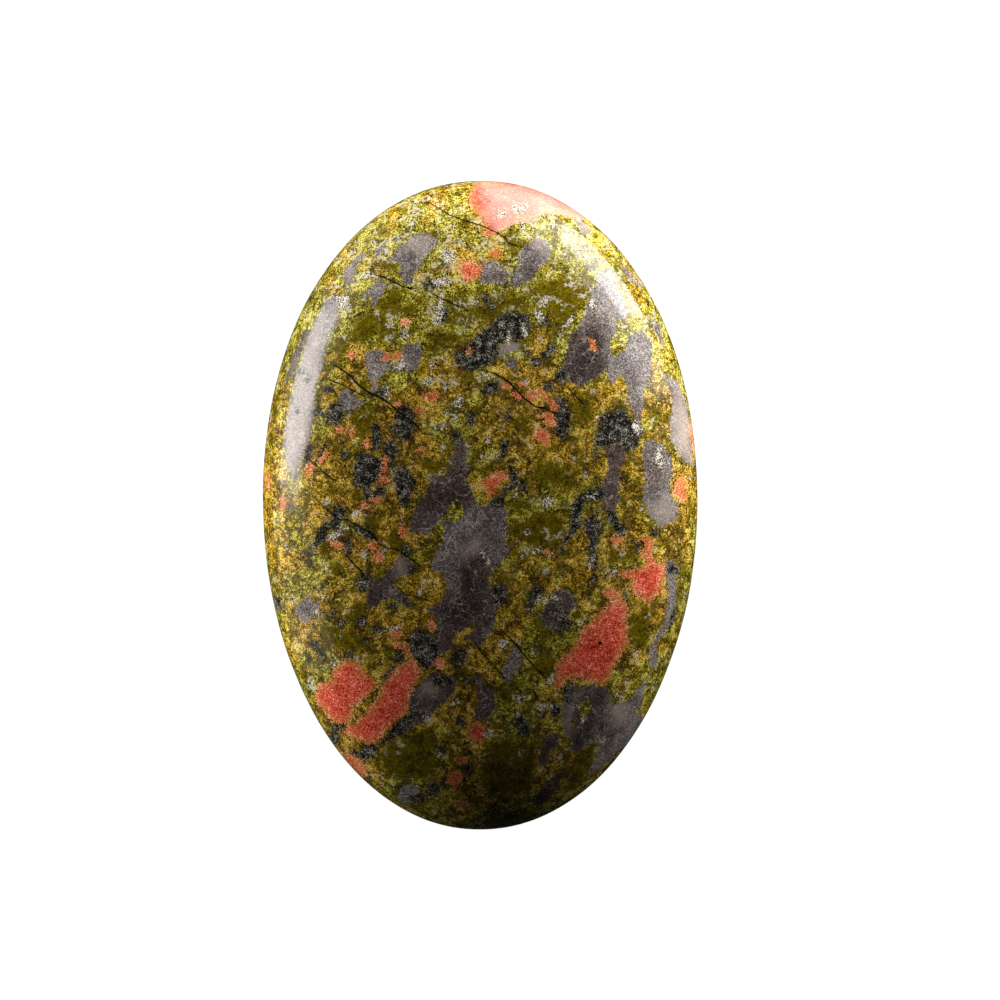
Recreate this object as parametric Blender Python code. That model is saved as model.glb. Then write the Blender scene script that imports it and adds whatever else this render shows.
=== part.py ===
"""A polished palm stone: one oval pebble of rock, domed on both sides.

Metres, +Z up. The stone lies on its underside. Its length runs along Y and its
width along X, and the origin is the middle of the small flat spot it rests on.
"""

import math

import bmesh
import bpy

MM = 0.001

# Driving dimensions.
LENGTH = 60.0 * MM
WIDTH = 40.2 * MM
CROWN_HEIGHT = 8.4 * MM
BELLY_HEIGHT = 8.0 * MM

# The outline is a superellipse, a little fuller than an ellipse, and it is a
# little wider towards its +Y end.
OUTLINE_POWER = 2.05
END_TAPER = 0.02

# A slice from the rim to the middle is a superellipse too: flatter in the
# middle than a dome, and rounder at the shoulder.
PROFILE_POWER = 2.5

# The half width of the flat spot, as a share of the stone's.
FOOT_SHARE = 0.22

# Facets.
SEGMENTS = 72
CROWN_RINGS = 20
BELLY_RINGS = 18

STONE_COLOR = (0.22, 0.19, 0.05, 1.0)
STONE_ROUGHNESS = 0.12


def clear_scene():
    """Removes every object that the scene starts with."""
    for obj in list(bpy.data.objects):
        bpy.data.objects.remove(obj)


def signed_power(value, power):
    """Raises the size of a number to a power, and keeps its sign."""
    return math.copysign(abs(value) ** power, value)


def ring_point(angle, share):
    """A point of the ring whose half width is this share of the stone's, as (x, y).

    Rings near the rim are inset evenly from the outline. Further in, the inset
    grows faster along the length, so that the last ring closes on one point.
    """
    half_width = WIDTH / 2 * share
    inset = WIDTH / 2 - half_width
    half_length = LENGTH / 2 - inset * (1 + (LENGTH / WIDTH - 1) * (1 - share))
    x = half_width * signed_power(math.cos(angle), 2 / OUTLINE_POWER)
    y = half_length * signed_power(math.sin(angle), 2 / OUTLINE_POWER)
    return x * (1 + END_TAPER * 2 * y / LENGTH), y


def profile_height(share):
    """Height from the girdle, as a share of the middle's, at a ring's share."""
    return (1 - share**PROFILE_POWER) ** (1 / PROFILE_POWER)


def profile_share(turn):
    """The ring's share at a turn from the middle, 0, to the girdle, pi / 2."""
    return math.sin(turn) ** (2 / PROFILE_POWER)


def girdle_height():
    """Height of the widest ring over the surface that the stone rests on."""
    return BELLY_HEIGHT * profile_height(FOOT_SHARE)


def belly_rings():
    """Rings from the flat spot's edge up to the girdle, as (share, height)."""
    first_turn = math.asin(FOOT_SHARE ** (PROFILE_POWER / 2))
    step = (math.pi / 2 - first_turn) / BELLY_RINGS
    shares = [profile_share(first_turn + step * i) for i in range(BELLY_RINGS + 1)]
    return [(s, girdle_height() - BELLY_HEIGHT * profile_height(s)) for s in shares]


def crown_rings():
    """Rings from just above the girdle to the last one round the middle."""
    step = math.pi / 2 / CROWN_RINGS
    shares = [profile_share(math.pi / 2 - step * i) for i in range(1, CROWN_RINGS)]
    return [(s, girdle_height() + CROWN_HEIGHT * profile_height(s)) for s in shares]


def place_ring(verts, share, height):
    """Puts the vertices of a ring at their places round the stone."""
    for number, vert in enumerate(verts):
        vert.co = (*ring_point(math.tau * number / len(verts), share), height)


def next_ring(bm, verts):
    """Extrudes a ring of vertices, and gives the new ring in the same order."""
    pairs = zip(verts, verts[1:] + verts[:1])
    edges = [bm.edges.get(pair) for pair in pairs]
    made = bmesh.ops.extrude_edge_only(bm, edges=edges)["geom"]
    new_verts = {v for v in made if isinstance(v, bmesh.types.BMVert)}
    return [
        next(
            edge.other_vert(vert)
            for edge in vert.link_edges
            if edge.other_vert(vert) in new_verts
        )
        for vert in verts
    ]


def stone_mesh():
    """The stone's skin: the flat spot, ring after ring, and the middle of the crown."""
    bm = bmesh.new()
    made = bmesh.ops.create_circle(
        bm, segments=SEGMENTS, radius=WIDTH / 2, cap_ends=True
    )
    verts = made["verts"]
    for edge in bm.edges:
        edge.smooth = False  # the flat spot's edge stays crisp
    rings = belly_rings() + crown_rings()
    place_ring(verts, *rings[0])
    for share, height in rings[1:]:
        verts = next_ring(bm, verts)
        place_ring(verts, share, height)
    top = bm.verts.new((0, 0, girdle_height() + CROWN_HEIGHT))
    for vert, after in zip(verts, verts[1:] + verts[:1]):
        bm.faces.new((vert, after, top))
    for face in bm.faces:
        face.smooth = True
    bmesh.ops.recalc_face_normals(bm, faces=bm.faces)
    mesh = bpy.data.meshes.new("palm_stone")
    bm.to_mesh(mesh)
    bm.free()
    return mesh


def stone_material():
    """Polished unakite, as one mean colour."""
    material = bpy.data.materials.new("polished_stone")
    material.use_nodes = True
    surface = material.node_tree.nodes["Principled BSDF"]
    surface.inputs["Base Color"].default_value = STONE_COLOR
    surface.inputs["Roughness"].default_value = STONE_ROUGHNESS
    surface.inputs["Metallic"].default_value = 0.0
    return material


def make_stone():
    """The palm stone, resting on its flat spot."""
    stone = bpy.data.objects.new("palm_stone", stone_mesh())
    bpy.context.scene.collection.objects.link(stone)
    stone.data.materials.append(stone_material())
    return stone


clear_scene()
make_stone()
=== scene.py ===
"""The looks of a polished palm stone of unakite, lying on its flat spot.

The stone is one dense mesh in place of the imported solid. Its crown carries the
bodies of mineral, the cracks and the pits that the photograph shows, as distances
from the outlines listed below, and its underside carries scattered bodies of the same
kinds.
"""

import logging
import math
from dataclasses import dataclass
from enum import Enum

import bpy
import numpy as np
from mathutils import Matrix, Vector


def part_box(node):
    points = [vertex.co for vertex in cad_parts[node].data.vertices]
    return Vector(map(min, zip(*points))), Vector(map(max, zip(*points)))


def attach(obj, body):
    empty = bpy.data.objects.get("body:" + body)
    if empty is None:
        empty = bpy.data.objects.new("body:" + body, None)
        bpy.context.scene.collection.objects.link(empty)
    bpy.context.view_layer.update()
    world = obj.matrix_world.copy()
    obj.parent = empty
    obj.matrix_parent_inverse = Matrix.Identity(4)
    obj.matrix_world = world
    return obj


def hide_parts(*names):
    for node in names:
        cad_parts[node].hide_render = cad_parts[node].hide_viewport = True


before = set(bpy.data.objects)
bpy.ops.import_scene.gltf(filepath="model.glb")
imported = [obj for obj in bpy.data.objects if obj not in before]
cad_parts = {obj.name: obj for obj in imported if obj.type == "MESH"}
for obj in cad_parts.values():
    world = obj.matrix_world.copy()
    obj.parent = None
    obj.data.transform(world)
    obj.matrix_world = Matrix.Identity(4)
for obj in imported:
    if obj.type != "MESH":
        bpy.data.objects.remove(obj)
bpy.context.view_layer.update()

MM = 0.001
QUARTER_TURN = math.pi / 2
TINY = 1e-6
WHITE = (1.0, 1.0, 1.0, 1.0)
NODE = "palm_stone"

log = logging.getLogger("palm_stone")

Pixel = tuple[float, float]
Outline = tuple[Pixel, ...]
Color = tuple[float, float, float]
Ramp = tuple[tuple[float, Color], ...]
Socket = bpy.types.NodeSocket


class Mineral(Enum):
    """The kinds of rock that a body can be; the value names its attribute on the mesh."""

    QUARTZ = "quartz"
    SMOKY = "smoky"
    MILKY = "milky"
    FELDSPAR = "feldspar"
    DARK = "dark"
    OLIVE = "olive"
    OCHRE = "ochre"
    PALE = "pale"
    EPIDOTE = "epidote"


@dataclass(frozen=True)
class Fleck:
    """One small oval body: its middle and half sizes in pixels, and its turn in degrees."""

    x: float
    y: float
    long: float
    short: float
    turn: float = 0.0


@dataclass(frozen=True)
class Crack:
    """One dark crack, as its route in the photograph's pixels and its full width."""

    route: Outline
    width_mm: float


@dataclass(frozen=True)
class Pit:
    """One small hollow that the polish left, in the photograph's pixels."""

    middle: Pixel
    radius_mm: float


@dataclass(frozen=True)
class Scatter:
    """A mineral's loose bodies: their number to a millimetre, their seed and the noise they start at."""

    per_mm: float
    seed: float
    level: float


# The crown's large bodies. One of epidote is an island in quartz, and cuts a hole in it.
OUTLINES: dict[Mineral, dict[str, Outline]] = {
    Mineral.QUARTZ: {
        "top_left": ((404, 243), (420, 231), (430, 233), (438, 240), (432, 252), (425, 258), (414, 275),
            (411, 287), (403, 284), (399, 272), (399, 262), (389, 261), (397, 254), (398, 247)),
        "left_shoulder": ((366, 251), (368, 255), (356, 266), (354, 282), (349, 286), (343, 280), (342, 275),
            (347, 266), (361, 252)),
        "left_speck": ((387, 241), (388, 247), (383, 252), (376, 255), (370, 254), (378, 247)),
        "fork": ((382, 276), (386, 281), (383, 294), (375, 304), (366, 308), (371, 303), (371, 295),
            (360, 300), (361, 295)),
        "top_right": ((533, 236), (545, 240), (553, 250), (550, 258), (528, 283), (518, 288), (508, 286),
            (510, 276), (520, 266), (519, 255)),
        "top_middle": ((482, 265), (495, 260), (500, 268), (512, 272), (505, 285), (478, 283)),
        "big_right": ((592, 288), (600, 296), (618, 328), (613, 337), (612, 351), (617, 353), (625, 346),
            (629, 336), (640, 329), (652, 340), (651, 374), (648, 386), (642, 393), (643, 415), (640, 423),
            (634, 417), (630, 406), (622, 373), (612, 386), (606, 369), (604, 373), (580, 388), (565, 377),
            (563, 368), (567, 340), (584, 315)),
        "rim_top": ((573, 218), (582, 219), (590, 227), (592, 233), (586, 235), (580, 231)),
        "rim_upper": ((621, 266), (626, 266), (632, 273), (639, 279), (641, 289), (628, 280)),
        "rim_high": ((651, 313), (656, 318), (660, 326), (666, 348), (661, 348), (652, 325)),
        "right_rim": ((678, 382), (687, 405), (691, 425), (694, 466), (684, 463), (672, 444), (669, 432),
            (672, 404), (670, 392), (661, 370)),
        "right_block": ((645, 443), (652, 440), (660, 442), (668, 449), (674, 468), (671, 480), (672, 495),
            (678, 503), (679, 514), (675, 523), (664, 525), (660, 531), (656, 522), (649, 517), (643, 500),
            (645, 478), (642, 452)),
        "slit": ((607, 446), (615, 442), (628, 446), (618, 482), (620, 496), (614, 516), (610, 520),
            (600, 500), (600, 489), (609, 470), (606, 456)),
        "centre": ((461, 440), (467, 447), (469, 486), (480, 506), (498, 500), (506, 509), (508, 525),
            (506, 540), (511, 546), (508, 556), (493, 571), (489, 580), (497, 612), (494, 625), (481, 648),
            (466, 640), (440, 656), (436, 664), (428, 668), (420, 655), (436, 628), (437, 618), (424, 608),
            (436, 606), (442, 600), (448, 580), (443, 573), (434, 572), (430, 566), (432, 558), (443, 542),
            (444, 530), (441, 520), (449, 518), (456, 522), (462, 516), (462, 506), (456, 500), (428, 536),
            (418, 532), (408, 534), (413, 510), (426, 492), (430, 475), (446, 476), (455, 448)),
        "lower_left": ((410, 692), (430, 675), (440, 672), (452, 676), (457, 684), (454, 694), (424, 722),
            (406, 726)),
        "peg": ((475, 676), (482, 676), (484, 686), (493, 689), (497, 704), (488, 722), (474, 720),
            (477, 690)),
        "lower_right": ((562, 690), (568, 686), (595, 684), (609, 686), (612, 704), (632, 698), (636, 688),
            (648, 680), (638, 712), (644, 718), (640, 730), (632, 742), (594, 776), (590, 770), (600, 748),
            (596, 742), (588, 744), (578, 752), (572, 752), (572, 742), (566, 738), (562, 724)),
        "low_sliver": ((531, 802), (544, 783), (566, 768), (556, 792), (548, 800), (540, 805)),
        "low_block": ((541, 748), (545, 738), (552, 732), (560, 736), (558, 746), (550, 752), (547, 762),
            (540, 768), (536, 760)),
        "right_strip": ((665, 563), (672, 560), (680, 568), (677, 578), (674, 620), (660, 640), (657, 650),
            (657, 668), (650, 668), (649, 650), (663, 625), (666, 605), (668, 590)),
        "low_speck": ((510, 650), (518, 648), (522, 658), (520, 668), (508, 682), (500, 676)),
        "left_mauve": ((365, 352), (378, 348), (390, 354), (392, 366), (378, 380), (378, 390), (372, 392),
            (371, 382), (366, 374)),
        "upper_middle": ((408, 343), (418, 344), (424, 352), (422, 362), (416, 370), (406, 372), (400, 352)),
        "left_grey": ((339, 397), (344, 389), (351, 388), (353, 396), (360, 399), (368, 398), (366, 404),
            (348, 412), (340, 408)),
        "middle": ((503, 357), (512, 356), (518, 362), (515, 368), (505, 368)),
        "middle_pale": ((500, 344), (510, 340), (521, 344), (516, 351), (496, 360)),
        "low_dark": ((541, 614), (546, 604), (560, 588), (570, 590), (577, 598), (575, 605), (568, 612),
            (566, 622), (568, 630), (558, 634), (541, 624)),
        "low_left": ((366, 590), (372, 581), (381, 577), (400, 556), (408, 556), (412, 564), (410, 575),
            (400, 577), (394, 583), (408, 598), (412, 607), (404, 606), (388, 597), (370, 612), (366, 604)),
        "left_rim": ((295, 612), (298, 604), (311, 594), (314, 604), (320, 599), (322, 603), (308, 624),
            (301, 621)),
        "bottom_left": ((400, 788), (412, 784), (420, 790), (414, 800), (404, 806), (397, 798)),
        "left_gloss": ((333, 296), (341, 304), (334, 326), (324, 346), (322, 366), (315, 392), (314, 420),
            (308, 444), (300, 464), (293, 478), (286, 462), (285, 436), (290, 404), (306, 340), (318, 314)),
        "left_lens": ((312, 316), (305, 346), (288, 386), (284, 380), (291, 358), (302, 332)),
        "right_gloss": ((597, 270), (606, 274), (616, 286), (624, 300), (629, 314), (622, 322), (610, 318),
            (601, 308), (594, 294)),
    },
    Mineral.SMOKY: {
        "centre": ((461, 440), (474, 500), (460, 520), (405, 536), (420, 485), (450, 465)),
        "lower": ((478, 553), (500, 565), (490, 585), (496, 615), (480, 648), (440, 655), (425, 668),
            (436, 628), (424, 608), (440, 606), (448, 585), (460, 600), (464, 570)),
        "slit": ((606, 440), (630, 446), (618, 482), (620, 496), (610, 522), (598, 500), (608, 470)),
        "big": ((590, 322), (604, 345), (602, 374), (580, 388), (562, 376), (562, 345), (575, 328)),
        "peg": ((475, 676), (484, 676), (497, 704), (488, 722), (472, 722), (475, 700)),
        "low_sliver": ((528, 805), (544, 780), (568, 765), (560, 792), (540, 808)),
        "low_block": ((541, 748), (552, 730), (562, 736), (550, 756), (540, 770), (534, 760)),
        "low_dark": ((541, 614), (558, 586), (578, 598), (568, 630), (556, 636), (540, 626)),
        "low_left": ((364, 590), (404, 553), (412, 564), (394, 580), (412, 607), (370, 614)),
        "lower_right": ((562, 686), (609, 684), (608, 700), (596, 705), (590, 740), (576, 752), (562, 735)),
        "left_lens": ((312, 316), (305, 346), (288, 386), (284, 380), (291, 358), (302, 332)),
        "low": ((392, 704), (403, 682), (425, 668), (452, 672), (456, 690), (440, 714), (418, 726)),
        "left": ((364, 578), (384, 563), (402, 570), (396, 600), (380, 614), (364, 606)),
    },
    Mineral.MILKY: {
        "top": ((480, 180), (545, 190), (592, 214), (585, 226), (545, 220), (500, 238), (482, 215)),
        "right_rim": ((676, 384), (690, 410), (693, 465), (672, 440), (672, 404)),
        # Along the left highlight: partly real milky quartz, partly a painted highlight that whitens the base
        # under the reflection.
        "left_gloss": ((328, 308), (320, 352), (310, 440), (293, 478), (284, 462), (286, 420), (298, 360)),
    },
    Mineral.EPIDOTE: {
        "big_right": ((618, 328), (627, 344), (626, 351), (614, 356), (611, 348), (613, 337)),
        "low": ((453, 640), (458, 633), (466, 630), (473, 622), (477, 625), (458, 646), (454, 645)),
        "left_chunk": ((422, 598), (421, 590), (426, 583), (441, 575), (447, 579), (437, 603)),
        "lower_right": ((580, 712), (582, 703), (588, 699), (591, 704), (582, 726)),
    },
    Mineral.DARK: {
        "top": ((478, 334), (504, 314), (516, 312), (528, 316), (532, 326), (526, 336), (516, 341),
            (506, 340), (498, 346), (497, 356), (490, 363), (480, 368), (468, 370), (456, 362), (453, 354),
            (472, 346)),
        "middle_right": ((553, 398), (561, 396), (567, 402), (570, 412), (569, 430), (563, 438), (556, 434),
            (554, 420), (556, 408)),
        "right": ((600, 416), (618, 410), (625, 411), (630, 420), (640, 424), (642, 434), (634, 450),
            (626, 450), (622, 444), (606, 445), (598, 448), (595, 460), (594, 452)),
        "streak": ((555, 556), (571, 526), (570, 514), (573, 504), (578, 497), (586, 492), (594, 488),
            (602, 488), (602, 497), (586, 501), (582, 508), (579, 528), (571, 536), (560, 556)),
        "streak_knot": ((597, 508), (586, 522), (585, 528), (590, 541), (596, 548), (602, 530), (601, 523),
            (595, 519), (600, 509)),
        "slit_end": ((603, 509), (619, 538), (625, 536), (626, 528), (611, 510)),
        "fork": ((508, 465), (516, 472), (519, 480), (508, 492), (502, 510), (494, 509), (488, 506),
            (501, 495), (511, 482), (512, 475)),
        "left": ((326, 412), (333, 405), (341, 404), (343, 412), (349, 410), (336, 425), (327, 424)),
        "left_low": ((356, 458), (362, 452), (378, 458), (384, 466), (382, 476), (368, 488), (358, 488),
            (352, 480)),
        "left_thin": ((365, 493), (374, 492), (388, 482), (384, 494), (376, 500), (369, 504)),
        "crack_end": ((396, 408), (404, 404), (412, 412), (414, 424), (410, 438), (402, 440), (396, 432)),
        "column": ((398, 466), (408, 468), (414, 480), (408, 506), (400, 505), (394, 478)),
        "between": ((386, 444), (394, 442), (398, 450), (394, 466), (386, 470), (383, 456)),
        "left_speck": ((372, 426), (379, 424), (381, 436), (378, 448), (372, 450), (374, 438)),
        "wedge": ((308, 556), (320, 528), (327, 521), (331, 524), (325, 540)),
        "wedge_top": ((332, 512), (338, 505), (345, 508), (343, 518), (340, 528), (333, 529)),
        "wedge_side": ((343, 540), (349, 538), (352, 550), (351, 560), (346, 557)),
        "crack_side": ((350, 523), (358, 524), (368, 530), (376, 534), (378, 542), (360, 533)),
        "low_left": ((356, 580), (362, 572), (370, 574), (372, 582), (366, 592), (360, 592)),
        "low_middle": ((488, 592), (494, 586), (504, 584), (508, 590), (505, 600), (496, 606)),
        "below_centre": ((452, 656), (457, 648), (465, 648), (466, 658), (460, 668), (453, 668)),
        "left_of_centre": ((408, 636), (418, 630), (428, 632), (440, 650), (436, 664), (424, 668),
            (416, 660), (410, 650)),
        "lobe_top": ((394, 652), (402, 648), (404, 656), (400, 664), (394, 662)),
        "low_right": ((530, 592), (536, 587), (543, 589), (529, 610), (526, 604)),
        "low_knot": ((515, 722), (519, 714), (524, 716), (526, 726), (528, 736), (520, 734)),
        "bottom": ((429, 788), (436, 783), (442, 783), (438, 792), (432, 799), (428, 796)),
        "lobe_side": ((381, 744), (395, 722), (411, 712), (412, 727)),
        "lobe_end": ((364, 744), (372, 741), (377, 748), (374, 757), (364, 760), (353, 753), (353, 749),
            (360, 753)),
    },
    Mineral.FELDSPAR: {
        "top": ((475, 178), (509, 178), (541, 184), (570, 200), (590, 216), (583, 220), (545, 213),
            (533, 222), (520, 222), (484, 238), (486, 228), (478, 214), (468, 204)),
        "upper": ((462, 260), (481, 264), (482, 272), (476, 280), (462, 280), (458, 270)),
        "sliver": ((588, 338), (593, 340), (597, 347), (597, 353), (592, 351)),
        "crack": ((537, 388), (541, 388), (557, 403), (557, 409), (552, 409), (545, 399)),
        "crack_right": ((541, 411), (551, 412), (556, 418), (555, 428), (549, 426), (543, 419)),
        "crack_low": ((531, 434), (538, 428), (546, 431), (552, 440), (546, 446), (538, 441)),
        "centre": ((498, 470), (507, 472), (509, 478), (502, 480), (495, 494), (489, 497), (487, 490),
            (482, 488), (483, 480)),
        "right_rim": ((674, 485), (678, 477), (684, 477), (687, 497), (682, 502), (672, 495)),
        "rim_sliver": ((688, 421), (696, 425), (700, 449), (693, 451)),
        "right_upper": ((640, 538), (650, 538), (654, 543), (652, 552), (655, 560), (663, 563), (666, 570),
            (660, 592), (652, 601), (645, 602), (632, 592), (631, 582), (623, 578), (621, 572), (646, 565),
            (641, 552), (645, 545)),
        "right_lower": ((617, 596), (624, 600), (627, 612), (628, 640), (625, 650), (612, 669), (610, 680),
            (603, 685), (580, 678), (566, 680), (558, 690), (554, 684), (556, 664), (578, 640), (581, 630)),
        "lower_left": ((318, 685), (330, 680), (334, 668), (341, 661), (352, 660), (360, 664), (364, 672),
            (377, 682), (378, 688), (354, 708), (353, 716), (346, 724), (340, 724), (333, 722), (317, 704),
            (315, 692)),
        "lower_left_lobe": ((382, 686), (396, 668), (412, 658), (419, 664), (421, 676), (411, 692),
            (408, 712), (394, 722), (390, 730), (378, 742), (370, 744), (346, 736), (343, 731), (348, 724),
            (357, 722), (376, 700)),
        "left_rim": ((345, 752), (360, 760), (366, 766), (368, 774), (362, 777), (350, 766), (343, 757)),
        "square": ((470, 723), (478, 721), (486, 727), (487, 735), (484, 741), (475, 744), (468, 738)),
        "low_speck": ((447, 778), (456, 772), (462, 775), (462, 783), (454, 787), (447, 783)),
        "small": ((428, 622), (432, 618), (436, 624), (435, 631), (430, 632)),
    },
    Mineral.OLIVE: {
        "top": ((522, 290), (532, 284), (566, 272), (578, 276), (588, 284), (591, 292), (577, 322),
            (560, 339), (553, 341), (548, 332), (556, 324), (552, 314), (526, 300)),
        "top_middle": ((470, 306), (484, 302), (508, 290), (530, 302), (528, 310), (474, 324), (466, 316)),
        "top_dark": ((503, 229), (512, 230), (532, 246), (522, 252), (505, 250), (500, 243)),
        "left": ((351, 330), (358, 318), (378, 306), (390, 288), (400, 290), (402, 300), (400, 310),
            (392, 316), (384, 332), (374, 340), (350, 344)),
        "left_round": ((346, 420), (352, 413), (365, 407), (378, 405), (380, 414), (370, 434), (360, 437),
            (352, 430)),
        "right_middle": ((528, 478), (534, 466), (546, 462), (558, 462), (564, 470), (578, 474), (580, 486),
            (570, 492), (540, 484)),
        "centre": ((516, 520), (540, 510), (556, 512), (566, 518), (566, 532), (560, 546), (548, 552),
            (536, 550), (528, 544), (508, 536), (504, 526)),
        "left_rim": ((320, 628), (326, 622), (341, 632), (352, 628), (368, 640), (380, 654), (372, 658),
            (362, 652), (342, 650), (326, 644), (321, 636)),
        "left_low": ((346, 612), (354, 602), (364, 597), (368, 606), (364, 616), (356, 622), (347, 624)),
        "right_low": ((628, 620), (642, 606), (650, 604), (652, 614), (648, 626), (652, 636), (648, 648),
            (640, 652), (632, 650)),
        "right_rim": ((676, 566), (684, 562), (690, 566), (685, 600), (679, 606), (675, 594)),
        "low": ((483, 750), (492, 740), (510, 736), (535, 746), (538, 760), (530, 790), (515, 798),
            (495, 796), (482, 786), (478, 770), (479, 758)),
        "low_left": ((378, 752), (384, 744), (394, 739), (420, 730), (434, 732), (440, 742), (434, 752),
            (440, 764), (436, 776), (424, 782), (394, 780), (380, 764)),
        "low_middle": ((496, 690), (500, 684), (510, 683), (516, 690), (514, 700), (506, 706), (497, 702)),
        "low_right": ((573, 756), (590, 742), (597, 744), (597, 752), (590, 772), (582, 784), (570, 792),
            (562, 790), (574, 766)),
        "low_right_side": ((556, 756), (562, 744), (570, 742), (573, 752), (570, 766), (560, 770)),
    },
    Mineral.OCHRE: {
        "left_rim": ((322, 284), (345, 250), (360, 237), (385, 221), (398, 222), (380, 237), (358, 247),
            (339, 268), (332, 286)),
        "right": ((484, 400), (500, 385), (520, 380), (540, 386), (556, 402), (558, 440), (566, 462),
            (554, 466), (545, 450), (530, 445), (515, 432), (500, 440), (486, 438), (478, 420)),
        "right_rim": ((650, 346), (668, 350), (674, 380), (672, 420), (660, 436), (648, 425), (652, 390)),
        "right_edge": ((678, 509), (692, 506), (694, 540), (688, 560), (676, 548), (672, 528)),
        "left_edge": ((268, 500), (280, 505), (284, 560), (276, 590), (270, 570), (264, 530)),
        "left_shoulder": ((270, 395), (284, 395), (284, 430), (276, 470), (268, 470), (268, 430)),
        "upper_right": ((595, 230), (604, 234), (622, 262), (612, 262), (598, 246)),
    },
}

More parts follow.
